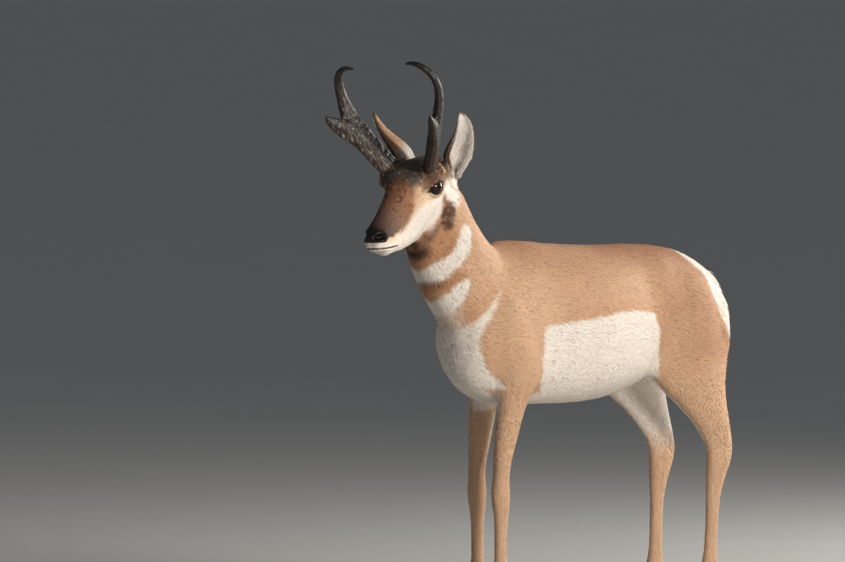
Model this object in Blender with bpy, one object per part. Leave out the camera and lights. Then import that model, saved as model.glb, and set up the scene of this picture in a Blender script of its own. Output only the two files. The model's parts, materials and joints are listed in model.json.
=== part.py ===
# A standing pronghorn buck at life size, parted into head, neck, torso, tail, legs, hooves,
# ears, eyes and horns. Metres, +Z up. The animal faces -X and its left side is towards -Y.
# Lengths along the body are measured back from the line of the forelegs, then the whole is
# moved so that the middle of its ground box is the origin.

import math

import bmesh
import bpy
import numpy as np
from mathutils import Matrix, Vector
from mathutils.bvhtree import BVHTree

# Driving dimensions
GAP = 0.0003
BODY_VOXEL = 0.0045

# Carriage of the head: where the middle between the eyes is, which way it looks, and the
# slope of the line from there to the nose
EYE_LINE_MIDDLE = (-0.249, -0.025, 1.014)
HEAD_TURN = math.radians(16.0)
HEAD_PITCH = math.radians(33.5)

# Triangles that each part keeps, before its cuts
HEAD_MESH_TRIANGLES = 17500
LEG_MESH_TRIANGLES = 9000
TORSO_MESH_TRIANGLES = 6000

# How many rings each long form has, and how many points round each kind of ring
TRUNK_RINGS = 44
NECK_RINGS = 20
SKULL_RINGS = 44
LEG_RINGS = 60
HORN_RINGS = 18
PRONG_RINGS = 7
EAR_RINGS = 12
TAIL_RINGS = 12
BODY_SIDES = 36
LEG_SIDES = 24
HORN_SIDES = 10
TAIL_SIDES = 12
CLAW_SIDES = 12
EAR_ARC_POINTS = 9
BALL_SEGMENTS = (24, 14)
EYE_SEGMENTS = (18, 10)
NOSTRIL_SEGMENTS = (12, 8)
LID_STEPS = 20
LID_SIDES = 6
MOUTH_STEPS = 22
MOUTH_SIDES = 5

# Smoothing of the fused body: rounds before and after its forms are raised, the heights
# between which it sets in, its least share on the legs and on the head, and how far from the
# eyes it grows to full
SOFTEN_ROUNDS = (16, 3)
SOFTEN_HEIGHTS = (0.36, 0.52)
SOFTEN_LEAST_LEG = 0.06
SOFTEN_LEAST_HEAD = 0.12
SOFTEN_FROM_EYES = (0.085, 0.155)
HEAD_ONLY_BEFORE = -0.30
SLIVER = 0.00002
SHARP_EDGE = math.radians(50.0)

# Trunk: place along the body, top, underside, half width, height of the widest level, and
# the roundness of the upper and lower halves (2 is an ellipse, more is squarer)
TRUNK = (
    (-0.124, 0.712, 0.622, 0.028, 0.665, 2.0, 2.0),
    (-0.112, 0.760, 0.586, 0.054, 0.665, 2.0, 2.0),
    (-0.084, 0.815, 0.549, 0.078, 0.662, 1.9, 2.1),
    (-0.040, 0.860, 0.521, 0.099, 0.668, 1.8, 2.2),
    (0.020, 0.880, 0.508, 0.113, 0.675, 1.8, 2.2),
    (0.080, 0.880, 0.506, 0.121, 0.678, 1.9, 2.2),
    (0.160, 0.872, 0.505, 0.130, 0.675, 2.0, 2.2),
    (0.250, 0.866, 0.506, 0.136, 0.672, 2.1, 2.2),
    (0.330, 0.864, 0.517, 0.134, 0.682, 2.1, 2.2),
    (0.400, 0.864, 0.540, 0.127, 0.700, 2.1, 2.2),
    (0.470, 0.860, 0.575, 0.120, 0.720, 2.0, 2.1),
    (0.540, 0.847, 0.612, 0.112, 0.730, 2.0, 2.0),
    (0.595, 0.823, 0.648, 0.096, 0.738, 2.0, 2.0),
    (0.629, 0.796, 0.685, 0.073, 0.742, 2.0, 2.0),
    (0.646, 0.770, 0.718, 0.036, 0.745, 2.0, 2.0),
)

# Neck: height of the ring's middle, its place along the body, its offset to the side, half
# depth to the front, half depth to the back, half width
NECK = (
    (0.690, 0.010, 0.000, 0.108, 0.110, 0.080),
    (0.740, -0.025, 0.000, 0.118, 0.112, 0.082),
    (0.790, -0.066, 0.000, 0.115, 0.104, 0.078),
    (0.840, -0.110, -0.002, 0.107, 0.095, 0.073),
    (0.890, -0.146, -0.006, 0.098, 0.089, 0.069),
    (0.940, -0.171, -0.010, 0.088, 0.082, 0.065),
    (0.980, -0.188, -0.013, 0.074, 0.070, 0.058),
    (1.008, -0.200, -0.015, 0.052, 0.048, 0.045),
)
NECK_LEAN = math.radians(28.0)
NECK_ROUNDNESS = 2.1

# Head, in its own frame from the middle between the eyes: place forward, top, underside,
# half width, level of the widest, roundness above and below
SKULL = (
    (-0.118, -0.008, -0.060, 0.024, -0.034, 2.0, 2.0),
    (-0.104, 0.010, -0.076, 0.042, -0.030, 2.1, 2.0),
    (-0.075, 0.027, -0.088, 0.056, -0.022, 2.3, 2.0),
    (-0.040, 0.040, -0.094, 0.062, -0.012, 2.6, 1.9),
    (0.000, 0.046, -0.099, 0.060, -0.008, 2.7, 1.8),
    (0.035, 0.043, -0.105, 0.052, -0.014, 2.6, 1.8),
    (0.070, 0.035, -0.107, 0.043, -0.020, 2.5, 1.8),
    (0.110, 0.027, -0.098, 0.035, -0.022, 2.4, 1.9),
    (0.150, 0.020, -0.080, 0.030, -0.023, 2.3, 2.0),
    (0.180, 0.015, -0.063, 0.028, -0.022, 2.3, 2.1),
    (0.200, 0.009, -0.048, 0.025, -0.020, 2.3, 2.1),
    (0.212, 0.001, -0.037, 0.017, -0.018, 2.0, 2.0),
)
ORBIT_RADII = (0.0330, 0.0300, 0.0270)

# Legs: height, front edge, back edge, distance of the middle from the midline, half width
FORELEG = (
    (0.760, -0.070, 0.060, 0.050, 0.045),
    (0.700, -0.074, 0.070, 0.062, 0.052),
    (0.640, -0.066, 0.078, 0.070, 0.050),
    (0.590, -0.050, 0.076, 0.073, 0.045),
    (0.555, -0.040, 0.066, 0.073, 0.039),
    (0.525, -0.032, 0.050, 0.071, 0.033),
    (0.495, -0.031, 0.038, 0.069, 0.029),
    (0.455, -0.036, 0.026, 0.067, 0.026),
    (0.415, -0.038, 0.014, 0.065, 0.023),
    (0.375, -0.039, 0.003, 0.064, 0.0198),
    (0.345, -0.040, 0.000, 0.063, 0.0190),
    (0.320, -0.043, 0.001, 0.062, 0.0208),
    (0.292, -0.042, 0.002, 0.062, 0.0202),
    (0.265, -0.038, -0.001, 0.062, 0.0170),
    (0.200, -0.035, -0.005, 0.061, 0.0140),
    (0.150, -0.036, -0.004, 0.061, 0.0148),
    (0.115, -0.041, 0.001, 0.061, 0.0188),
    (0.090, -0.052, -0.010, 0.061, 0.0180),
    (0.062, -0.065, -0.022, 0.061, 0.0175),
    (0.040, -0.076, -0.028, 0.061, 0.0190),
    (0.020, -0.082, -0.032, 0.061, 0.0190),
)
HINDLEG = (
    (0.800, 0.430, 0.590, 0.055, 0.045),
    (0.745, 0.410, 0.632, 0.066, 0.058),
    (0.690, 0.394, 0.645, 0.074, 0.060),
    (0.635, 0.384, 0.641, 0.079, 0.056),
    (0.590, 0.392, 0.634, 0.081, 0.050),
    (0.545, 0.430, 0.631, 0.082, 0.043),
    (0.500, 0.487, 0.636, 0.081, 0.036),
    (0.460, 0.535, 0.645, 0.080, 0.030),
    (0.420, 0.570, 0.654, 0.078, 0.0255),
    (0.392, 0.586, 0.658, 0.077, 0.0225),
    (0.360, 0.590, 0.651, 0.076, 0.0232),
    (0.330, 0.589, 0.639, 0.075, 0.0210),
    (0.285, 0.589, 0.626, 0.074, 0.0160),
    (0.200, 0.587, 0.618, 0.073, 0.0140),
    (0.150, 0.583, 0.617, 0.072, 0.0150),
    (0.115, 0.575, 0.617, 0.072, 0.0190),
    (0.090, 0.564, 0.605, 0.072, 0.0180),
    (0.062, 0.551, 0.593, 0.072, 0.0175),
    (0.040, 0.540, 0.587, 0.072, 0.0190),
    (0.020, 0.534, 0.583, 0.072, 0.0190),
)
# How far each right leg stands behind its left one
RIGHT_FORELEG_BACK = 0.034
RIGHT_HINDLEG_BACK = -0.042

KNEE_CUT = 0.330
HOCK_CUT = 0.345

# Hooves: height of the top edge in front and behind, reach of the sole ahead of and behind
# the leg's lowest ring, half width of one claw and the cleft between the two
HOOF_TOP_FRONT = 0.047
HOOF_TOP_BACK = 0.027
HOOF_TOE_REACH = 0.026
HOOF_HEEL_REACH = 0.004
CLAW_HALF_WIDTH = 0.0128
CLEFT = 0.0030
# How far a claw's top stands inside the leg's edge, the levels of its rings as shares of its
# height, how much its sole is drawn in, and how it narrows to the top and to the toe
CLAW_TOP_INSET = 0.001
CLAW_LEVELS = (0.0, 0.10, 0.55, 1.0)
CLAW_SOLE_EDGE = 0.93
CLAW_TAPER = 0.16
CLAW_TOE_TAPER = 0.30

# Eyes
EYE_RADIUS = 0.0222
EYE_PLACE = (0.0040, 0.0515, 0.0030)
EYE_LOOK = (0.42, 0.90, 0.04)
LID_OPENING = (0.0188, 0.0138)
LID_EDGE = 0.0016
LID_EDGE_OFFSET = 0.001
LID_CORNER_PINCH = 0.25
LID_CUT_REACH = 0.05
LID_TILT = math.radians(17.0)
ORBIT_PLACE = (-0.0005, 0.0500, 0.0024)

# Nostrils, and the plane and reach of the mouth, in the head frame
NOSTRIL = (0.203, 0.0205, -0.002)
NOSTRIL_LENGTH = (0.80, 0.52, -0.25)
NOSTRIL_RADII = (0.0115, 0.0052, 0.0085)
MOUTH_MIDDLE = (0.166, -0.046)
MOUTH_RISE = math.radians(24.0)
MOUTH_HALF_ANGLE = 100.0
MOUTH_GROOVE = 0.0021

# Horns, from the root in the head's level frame: outward, forward, up, then half depth along
# the blade and half thickness across it
HORN_ROOT = (-0.014, 0.0475, 0.030)
HORN = (
    (-0.0040, -0.0060, -0.0140, 0.0270, 0.0160),
    (0.0115, 0.0134, 0.0130, 0.0270, 0.0158),
    (0.0376, 0.0398, 0.0540, 0.0268, 0.0152),
    (0.0602, 0.0673, 0.0970, 0.0290, 0.0145),
    (0.0759, 0.0764, 0.1335, 0.0200, 0.0120),
    (0.0862, 0.0896, 0.1800, 0.0125, 0.0098),
    (0.0821, 0.1059, 0.2120, 0.0105, 0.0085),
    (0.0636, 0.1232, 0.2330, 0.0088, 0.0072),
    (0.0417, 0.1313, 0.2410, 0.0066, 0.0055),
    (0.0218, 0.1283, 0.2385, 0.0026, 0.0024),
)
PRONG = (
    (0.0480, 0.0500, 0.0720, 0.0260, 0.0132),
    (0.0660, 0.0810, 0.0920, 0.0240, 0.0122),
    (0.0820, 0.1080, 0.1060, 0.0180, 0.0102),
    (0.0905, 0.1270, 0.1170, 0.0105, 0.0070),
    (0.0950, 0.1384, 0.1270, 0.0024, 0.0020),
)
BLADE_TURN = math.radians(32.0)
# The left horn and ear stand a little taller than the right ones
UNEVEN = 0.030

# A horn's blade way is taken from upright where it would lie within this of its own path
LEAST_BLADE_WAY = 0.3

# Ears: root in the head frame, reach in the level frame, and along it the radius of the
# rolled sheet, its half opening angle in degrees and its thickness
EAR_ROOT = (-0.080, 0.057, -0.024)
EAR_REACH = (0.061, 0.066, 0.141)
EAR_FACING = math.radians(48.0)
# How far the middle of an ear bows outward and forward of the line from root to tip, and how
# far up the bow lies (1 puts it halfway, more puts it nearer the tip)
EAR_BOW = (0.0200, 0.0033)
EAR_BOW_RISE = 1.8
EAR = (
    (0.00, 0.0180, 150.0, 0.0070),
    (0.14, 0.0250, 134.0, 0.0060),
    (0.28, 0.0312, 110.0, 0.0048),
    (0.44, 0.0290, 96.0, 0.0040),
    (0.60, 0.0232, 88.0, 0.0033),
    (0.75, 0.0182, 82.0, 0.0028),
    (0.88, 0.0118, 78.0, 0.0024),
    (0.96, 0.0062, 74.0, 0.0018),
    (1.00, 0.0018, 70.0, 0.0008),
)

# Tail: place back, height, half width, half thickness
TAIL = (
    (0.596, 0.800, 0.018, 0.014),
    (0.622, 0.788, 0.024, 0.016),
    (0.641, 0.765, 0.029, 0.017),
    (0.650, 0.735, 0.030, 0.016),
    (0.652, 0.705, 0.026, 0.013),
    (0.650, 0.680, 0.015, 0.009),
    (0.648, 0.665, 0.004, 0.003),
)

# Swells and hollows of the body: centre, reach along each axis, height of the form. Those
# off the midline are made on both sides.
BODY_FORMS = (
    ((-0.035, 0.100, 0.720), (0.050, 0.050, 0.085), 0.007),
    ((-0.080, 0.070, 0.655), (0.040, 0.040, 0.045), 0.004),
    ((0.045, 0.100, 0.590), (0.035, 0.040, 0.035), 0.006),
    ((0.090, 0.125, 0.720), (0.035, 0.060, 0.090), -0.005),
    ((0.385, 0.125, 0.760), (0.045, 0.060, 0.050), -0.007),
    ((0.430, 0.090, 0.830), (0.035, 0.040, 0.030), 0.005),
    ((0.520, 0.120, 0.690), (0.075, 0.060, 0.080), 0.008),
    ((0.372, 0.105, 0.585), (0.035, 0.050, 0.040), 0.007),
    ((-0.100, 0.000, 0.800), (0.040, 0.020, 0.080), 0.004),
)
# The same for the head, in its own frame
HEAD_FORMS = (
    ((-0.030, 0.058, -0.050), (0.034, 0.030, 0.034), 0.006),
    ((-0.004, 0.066, 0.030), (0.030, 0.020, 0.013), 0.006),
    ((0.016, 0.056, 0.036), (0.028, 0.022, 0.018), 0.011),
    ((0.045, 0.045, -0.014), (0.030, 0.020, 0.011), 0.004),
    ((0.075, 0.040, 0.008), (0.030, 0.020, 0.012), -0.003),
    ((0.095, 0.036, -0.050), (0.035, 0.022, 0.018), -0.004),
    ((0.193, 0.023, -0.006), (0.014, 0.012, 0.012), 0.004),
    ((0.178, 0.027, -0.030), (0.026, 0.014, 0.009), 0.003),
    ((0.182, 0.010, -0.058), (0.014, 0.016, 0.010), 0.004),
    ((-0.004, 0.000, 0.046), (0.030, 0.018, 0.020), -0.003),
)

# Cuts. Outlines in side view, along and up, of what belongs to a left leg, and how far from
# the midline and how far out the cutting blocks reach
FORE_OUTLINE = (
    (-0.056, -0.05),
    (-0.056, 0.530),
    (-0.036, 0.556),
    (0.010, 0.566),
    (0.055, 0.552),
    (0.080, 0.520),
    (0.080, -0.05),
)
HIND_OUTLINE = (
    (0.376, -0.05),
    (0.376, 0.575),
    (0.402, 0.622),
    (0.470, 0.655),
    (0.560, 0.668),
    (0.720, 0.640),
    (0.720, -0.05),
)
FORE_INNER = 0.030
HIND_INNER = 0.022
OUTSIDE = 0.30

# Planes that part the head from the neck and the neck from the torso
HEAD_CUT_POINT = Vector((-0.176, -0.010, 0.985))
HEAD_CUT_NORMAL = Vector((-0.900, -0.080, 0.430)).normalized()
NECK_CUT_POINT = Vector((-0.065, 0.0, 0.806))
NECK_CUT_NORMAL = Vector((-0.720, 0.0, 0.694)).normalized()

# Colours and gloss, by the start of a node's name
TAN = (0.50, 0.27, 0.13)
BROWN = (0.22, 0.11, 0.06)
CREAM = (0.80, 0.72, 0.60)
DARK_HORN = (0.030, 0.026, 0.024)
EYE_BLACK = (0.010, 0.008, 0.007)
HOOF_BLACK = (0.025, 0.022, 0.020)
FINISH = (
    ("head", BROWN, 0.80),
    ("eye", EYE_BLACK, 0.08),
    ("ear", CREAM, 0.85),
    ("horn", DARK_HORN, 0.50),
    ("hoof", HOOF_BLACK, 0.45),
    ("tail", CREAM, 0.90),
    ("", TAN, 0.85),
)


def clear_scene():
    """Removes what the file opens with."""
    for thing in list(bpy.data.objects):
        bpy.data.objects.remove(thing, do_unlink=True)


def make_object(name, points, faces):
    """A mesh object from points and faces."""
    mesh = bpy.data.meshes.new(name)
    mesh.from_pydata([tuple(map(float, p)) for p in points], [], faces)
    mesh.validate()
    thing = bpy.data.objects.new(name, mesh)
    bpy.context.scene.collection.objects.link(thing)
    return thing


def write_back(thing, bm):
    """Puts a bmesh into an object and frees it."""
    bm.to_mesh(thing.data)
    bm.free()
    thing.data.update()


def bmesh_of(thing):
    """A bmesh copy of an object's mesh."""
    bm = bmesh.new()
    bm.from_mesh(thing.data)
    return bm


def face_outwards(thing):
    """Merges doubles and turns all faces outwards."""
    bm = bmesh_of(thing)
    bmesh.ops.remove_doubles(bm, verts=bm.verts, dist=0.00001)
    bmesh.ops.recalc_face_normals(bm, faces=bm.faces)
    write_back(thing, bm)
    return thing


def eased(rows, count):
    """Rows read at even steps of their first column, along smooth cubic pieces."""
    table = np.array(rows, dtype=float)
    key = table[:, 0]
    slope = np.gradient(table, key, axis=0)
    out = []
    for t in np.linspace(key[0], key[-1], count):
        if key[0] < key[-1]:
            i = int(np.clip(np.searchsorted(key, t) - 1, 0, len(key) - 2))
        else:
            i = int(np.clip(np.searchsorted(-key, -t) - 1, 0, len(key) - 2))
        span = key[i + 1] - key[i]
        s = (t - key[i]) / span
        h00 = 2 * s**3 - 3 * s**2 + 1
        h10 = s**3 - 2 * s**2 + s
        h01 = -2 * s**3 + 3 * s**2
        h11 = s**3 - s**2
        row = h00 * table[i] + h01 * table[i + 1]
        row = row + span * (h10 * slope[i] + h11 * slope[i + 1])
        row[0] = t
        out.append(row)
    return out


def along(rows, count):
    """Rows read at even steps of their order, for paths that double back."""
    numbered = [(i,) + tuple(row) for i, row in enumerate(rows)]
    return [row[1:] for row in eased(numbered, count)]


def rounded(angle, power):
    """Cosine and sine of an angle on a superellipse of the given power."""
    c = math.cos(angle)
    s = math.sin(angle)
    return (
        math.copysign(abs(c) ** (2.0 / power), c),
        math.copysign(abs(s) ** (2.0 / power), s),
    )


def loft(name, rings):
    """A closed solid through rings that have the same number of points."""
    sides = len(rings[0])
    points = [p for ring in rings for p in ring]
    faces = []
    for r in range(len(rings) - 1):
        for k in range(sides):
            a = r * sides + k
            b = r * sides + (k + 1) % sides
            faces.append((a, b, b + sides, a + sides))
    faces.append(tuple(reversed(range(sides))))
    last = (len(rings) - 1) * sides
    faces.append(tuple(range(last, last + sides)))
    return face_outwards(make_object(name, points, faces))


def body_ring(row, sides=BODY_SIDES):
    """A trunk ring: an upright section with its own upper and lower halves."""
    x, top, bottom, half, widest, power_up, power_down = row
    ring = []
    for k in range(sides):
        angle = math.tau * k / sides
        rising = math.sin(angle) >= 0
        c, s = rounded(angle, power_up if rising else power_down)
        reach = top - widest if rising else widest - bottom
        ring.append((x, half * c, widest + reach * s))
    return ring


def neck_ring(row, sides=BODY_SIDES):
    """A neck ring, leaning with the neck."""
    z, x, y, front, back, half = row
    ring = []
    for k in range(sides):
        angle = math.tau * k / sides
        c, s = rounded(angle, NECK_ROUNDNESS)
        depth = (front if c < 0 else back) * c
        ring.append(
            (
                x + depth * math.cos(NECK_LEAN),
                y + half * s,
                z + depth * math.sin(NECK_LEAN),
            )
        )
    return ring


def leg_ring(row, side, back, sides=LEG_SIDES):
    """A level leg ring on one side of the body."""
    z, front_edge, back_edge, offset, half = row
    middle = (front_edge + back_edge) / 2 + back
    reach = (back_edge - front_edge) / 2
    return [
        (
            middle + reach * math.cos(math.tau * k / sides),
            side * offset + half * math.sin(math.tau * k / sides),
            z,
        )
        for k in range(sides)
    ]


# The head's directions: forward along the eye and nose line, left, and up from it. The
# level ones are for horns and ears.
LEVEL_FORWARD = Vector((-math.cos(HEAD_TURN), -math.sin(HEAD_TURN), 0.0))
LEVEL_LEFT = Vector((math.sin(HEAD_TURN), -math.cos(HEAD_TURN), 0.0))
UPRIGHT = Vector((0.0, 0.0, 1.0))
FORWARD = LEVEL_FORWARD * math.cos(HEAD_PITCH) - UPRIGHT * math.sin(HEAD_PITCH)
CROWN = LEVEL_FORWARD * math.sin(HEAD_PITCH) + UPRIGHT * math.cos(HEAD_PITCH)
EYES = Vector(EYE_LINE_MIDDLE)


def head_point(forward, left, up):
    """A place given in the head's own frame."""
    return EYES + FORWARD * forward + LEVEL_LEFT * left + CROWN * up


def level_point(root, side, outward, forward, up):
    """A place given from a root in the head's level frame, on one side."""
    return root + LEVEL_LEFT * (side * outward) + LEVEL_FORWARD * forward + UPRIGHT * up


def head_ring(row, sides=BODY_SIDES):
    """A head ring, square to the line of eyes and nose."""
    forward, top, bottom, half, widest, power_up, power_down = row
    ring = []
    for k in range(sides):
        angle = math.tau * k / sides
        rising = math.sin(angle) >= 0
        c, s = rounded(angle, power_up if rising else power_down)
        reach = top - widest if rising else widest - bottom
        ring.append(head_point(forward, half * c, widest + reach * s))
    return ring


def ball(name, centre, radii, axes, segments=BALL_SEGMENTS):
    """An ellipsoid with given radii along three directions."""
    bm = bmesh.new()
    around, upward = segments
    bmesh.ops.create_uvsphere(bm, u_segments=around, v_segments=upward, radius=1.0)
    turn = Matrix.Identity(4)
    for column, (axis, radius) in enumerate(zip(axes, radii)):
        for line in range(3):
            turn[line][column] = axis[line] * radius
        turn[column][3] = 0.0
    for line in range(3):
        turn[line][3] = centre[line]
    bmesh.ops.transform(bm, matrix=turn, verts=bm.verts)
    mesh = bpy.data.meshes.new(name)
    bm.to_mesh(mesh)
    bm.free()
    thing = bpy.data.objects.new(name, mesh)
    bpy.context.scene.collection.objects.link(thing)
    return face_outwards(thing)


def apply_modifier(thing, kind, **settings):
    """Adds a modifier, bakes its result into the mesh and drops it."""
    modifier = thing.modifiers.new(kind.title(), kind)
    for key, value in settings.items():
        setattr(modifier, key, value)
    bpy.context.view_layer.update()
    depsgraph = bpy.context.evaluated_depsgraph_get()
    mesh = bpy.data.meshes.new_from_object(thing.evaluated_get(depsgraph))
    thing.modifiers.clear()
    old = thing.data
    thing.data = mesh
    bpy.data.meshes.remove(old)
    return thing


def copy_of(thing, name):
    """A copy with its own mesh."""
    twin = bpy.data.objects.new(name, thing.data.copy())
    bpy.context.scene.collection.objects.link(twin)
    return twin


def discard(things):
    """Removes helper objects."""
    for thing in things:
        bpy.data.objects.remove(thing, do_unlink=True)


def joined(name, things):
    """One object that holds the shells of several."""
    bm = bmesh.new()
    for thing in things:
        bm.from_mesh(thing.data)
    discard(things)
    mesh = bpy.data.meshes.new(name)
    bm.to_mesh(mesh)
    bm.free()
    whole = bpy.data.objects.new(name, mesh)
    bpy.context.scene.collection.objects.link(whole)
    return whole


def largest_shell(thing):
    """Keeps only the largest closed surface."""
    bm = bmesh_of(thing)
    bm.faces.ensure_lookup_table()
    left = set(bm.faces)
    best = []
    while left:
        stack = [left.pop()]
        shell = [stack[0]]
        while stack:
            face = stack.pop()
            for edge in face.edges:
                for other in edge.link_faces:
                    if other in left:
                        left.remove(other)
                        stack.append(other)
                        shell.append(other)
        if len(shell) > len(best):
            best = shell
    keep = set(best)
    spare = [face for face in bm.faces if face not in keep]
    bmesh.ops.delete(bm, geom=spare, context="FACES")
    write_back(thing, bm)
    return thing


def union_of(name, things, solver="EXACT"):
    """One Boolean union on a collection of closed solids."""
    base = things[0]
    group = bpy.data.collections.new(name + "_pieces")
    for thing in things[1:]:
        group.objects.link(thing)
    modifier = base.modifiers.new("Union", "BOOLEAN")
    modifier.operation = "UNION"
    modifier.operand_type = "COLLECTION"
    modifier.collection = group
    modifier.solver = solver
    bpy.context.view_layer.update()
    depsgraph = bpy.context.evaluated_depsgraph_get()
    mesh = bpy.data.meshes.new_from_object(base.evaluated_get(depsgraph))
    whole = bpy.data.objects.new(name, mesh)
    bpy.context.scene.collection.objects.link(whole)
    base.modifiers.clear()
    bpy.data.collections.remove(group)
    discard(things)
    return largest_shell(whole)


def carve(thing, tool, operation="DIFFERENCE", solver="EXACT"):
    """A Boolean with one tool, which is then removed."""
    apply_modifier(thing, "BOOLEAN", operation=operation, object=tool, solver=solver)
    discard([tool])
    return largest_shell(thing)


def clean_triangles(thing):
    """Triangles only, with slivers from the cuts dissolved where that leaves it closed."""
    for reach in (2.5 * SLIVER, SLIVER, 0.0):
        bm = bmesh_of(thing)
        if reach > 0.0:
            bmesh.ops.remove_doubles(bm, verts=bm.verts, dist=reach)
            bmesh.ops.dissolve_degenerate(bm, edges=bm.edges, dist=reach)
        bmesh.ops.triangulate(bm, faces=bm.faces)
        if all(len(edge.link_faces) == 2 for edge in bm.edges):
            break
        if reach > 0.0:
            bm.free()
    write_back(thing, bm)
    return thing


def keep_side(thing, point, normal):
    """Cuts with a plane, keeps the side the normal points to and closes the cut."""
    bm = bmesh_of(thing)
    bmesh.ops.bisect_plane(
        bm,
        geom=bm.verts[:] + bm.edges[:] + bm.faces[:],
        dist=SLIVER,
        plane_co=point,
        plane_no=normal,
        clear_inner=True,
    )
    rim = [edge for edge in bm.edges if len(edge.link_faces) == 1]
    filled = bmesh.ops.holes_fill(bm, edges=rim, sides=0)
    bmesh.ops.triangulate(bm, faces=filled["faces"])
    bmesh.ops.recalc_face_normals(bm, faces=bm.faces)
    write_back(thing, bm)
    return largest_shell(thing)


def thinned(thing, triangles):
    """Fewer triangles, by collapsing edges."""
    mesh = thing.data
    mesh.calc_loop_triangles()
    ratio = min(1.0, triangles / len(mesh.loop_triangles))
    return apply_modifier(
        thing, "DECIMATE", ratio=ratio, use_collapse_triangulate=True
    )


def vertex_array(thing):
    """The mesh's points as an array."""
    flat = np.empty(len(thing.data.vertices) * 3)
    thing.data.vertices.foreach_get("co", flat)
    return flat.reshape(-1, 3)


def put_vertices(thing, points):
    """Moves the mesh's points."""
    thing.data.vertices.foreach_set("co", points.ravel())
    thing.data.update()


def soften(thing, rounds, weight_of, rate=0.5):
    """Averages each point with its neighbours, weighted by place."""
    mesh = thing.data
    ends = np.empty(len(mesh.edges) * 2, dtype=np.int64)
    mesh.edges.foreach_get("vertices", ends)
    ends = ends.reshape(-1, 2)
    points = vertex_array(thing)
    counts = np.bincount(ends.ravel(), minlength=len(points)).astype(float)
    weights = rate * weight_of(points)[:, None]
    for _ in range(rounds):
        total = np.empty_like(points)
        for axis in range(3):
            total[:, axis] = np.bincount(
                ends[:, 0], weights=points[ends[:, 1], axis], minlength=len(points)
            )
            total[:, axis] += np.bincount(
                ends[:, 1], weights=points[ends[:, 0], axis], minlength=len(points)
            )
        points = points + weights * (total / counts[:, None] - points)
    put_vertices(thing, points)
    return thing


def swell(thing, forms, to_world):
    """Raises or sinks the surface along its normals round each form's centre."""
    points = vertex_array(thing)
    normals = np.empty(len(points) * 3)
    thing.data.vertices.foreach_get("normal", normals)
    normals = normals.reshape(-1, 3)
    push = np.zeros(len(points))
    for centre, reach, height in forms:
        sides = (1, -1) if abs(centre[1]) > 0.0001 else (1,)
        for side in sides:
            middle, axes = to_world((centre[0], side * centre[1], centre[2]))
            offset = (points - middle) @ axes
            push += height * np.exp(-np.sum((offset / np.array(reach)) ** 2, axis=1))
    put_vertices(thing, points + normals * push[:, None])
    return thing


def in_body(place):
    """Centre and axes of a form given in the body's frame."""
    return np.array(place), np.eye(3)


def in_head(place):
    """Centre and axes of a form given in the head's frame."""
    middle = np.array(head_point(*place))
    axes = np.array([FORWARD, LEVEL_LEFT, CROWN]).T
    return middle, axes


def body_weight(points):
    """How much the fused body is softened: most on the trunk, least on legs and head."""
    low, high = SOFTEN_HEIGHTS
    height = np.clip((points[:, 2] - low) / (high - low), SOFTEN_LEAST_LEG, 1.0)
    from_eyes = np.linalg.norm(points - np.array(EYE_LINE_MIDDLE), axis=1)
    near, far = SOFTEN_FROM_EYES
    off_head = np.clip((from_eyes - near) / (far - near), SOFTEN_LEAST_HEAD, 1.0)
    off_head[points[:, 0] < HEAD_ONLY_BEFORE] = SOFTEN_LEAST_HEAD
    return height * off_head


def make_body():
    """Trunk, neck, head and legs fused into one skin."""
    pieces = [loft("trunk", [body_ring(row) for row in eased(TRUNK, TRUNK_RINGS)])]
    pieces.append(loft("neck_core", [neck_ring(row) for row in eased(NECK, NECK_RINGS)]))
    pieces.append(loft("skull", [head_ring(row) for row in eased(SKULL, SKULL_RINGS)]))
    for side in (1, -1):
        look, length, height = eye_frame(side)[1:]
        centre = head_point(ORBIT_PLACE[0], side * ORBIT_PLACE[1], ORBIT_PLACE[2])
        pieces.append(ball("orbit", centre, ORBIT_RADII, (length, height, look)))
        fore_back = leg_shift("foreleg", side)
        hind_back = leg_shift("hindleg", side)
        fore = [leg_ring(row, side, fore_back) for row in eased(FORELEG, LEG_RINGS)]
        hind = [leg_ring(row, side, hind_back) for row in eased(HINDLEG, LEG_RINGS)]
        pieces.append(loft("foreleg", fore))
        pieces.append(loft("hindleg", hind))
    body = joined("body", pieces)
    apply_modifier(body, "REMESH", mode="VOXEL", voxel_size=BODY_VOXEL)
    largest_shell(body)
    soften(body, SOFTEN_ROUNDS[0], body_weight)
    swell(body, BODY_FORMS, in_body)
    swell(body, HEAD_FORMS, in_head)
    soften(body, SOFTEN_ROUNDS[1], body_weight)
    return body


def lean_rows(rows, root, side, count):
    """Horn rings square to their path, with the blade's long way fore and aft."""
    path = along(rows, count)
    rise = 1.0 + side * UNEVEN
    centres = [level_point(root, side, row[0], row[1], row[2] * rise) for row in path]
    rings = []
    for i, row in enumerate(path):
        ahead = centres[min(i + 1, count - 1)] - centres[max(i - 1, 0)]
        ahead.normalize()
        toward = LEVEL_FORWARD * math.cos(BLADE_TURN)
        toward = toward + LEVEL_LEFT * (side * math.sin(BLADE_TURN))
        blade = toward - ahead * toward.dot(ahead)
        if blade.length < LEAST_BLADE_WAY:
            blade = UPRIGHT - ahead * UPRIGHT.dot(ahead)
        blade.normalize()
        across = ahead.cross(blade)
        rings.append((centres[i], blade, across, row[3], row[4]))
    return rings


def horn_ring(entry, sides=HORN_SIDES):
    """One oval ring of a horn."""
    centre, blade, across, depth, thick = entry
    return [
        centre
        + blade * (depth * math.cos(math.tau * k / sides))
        + across * (thick * math.sin(math.tau * k / sides))
        for k in range(sides)
    ]


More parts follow.
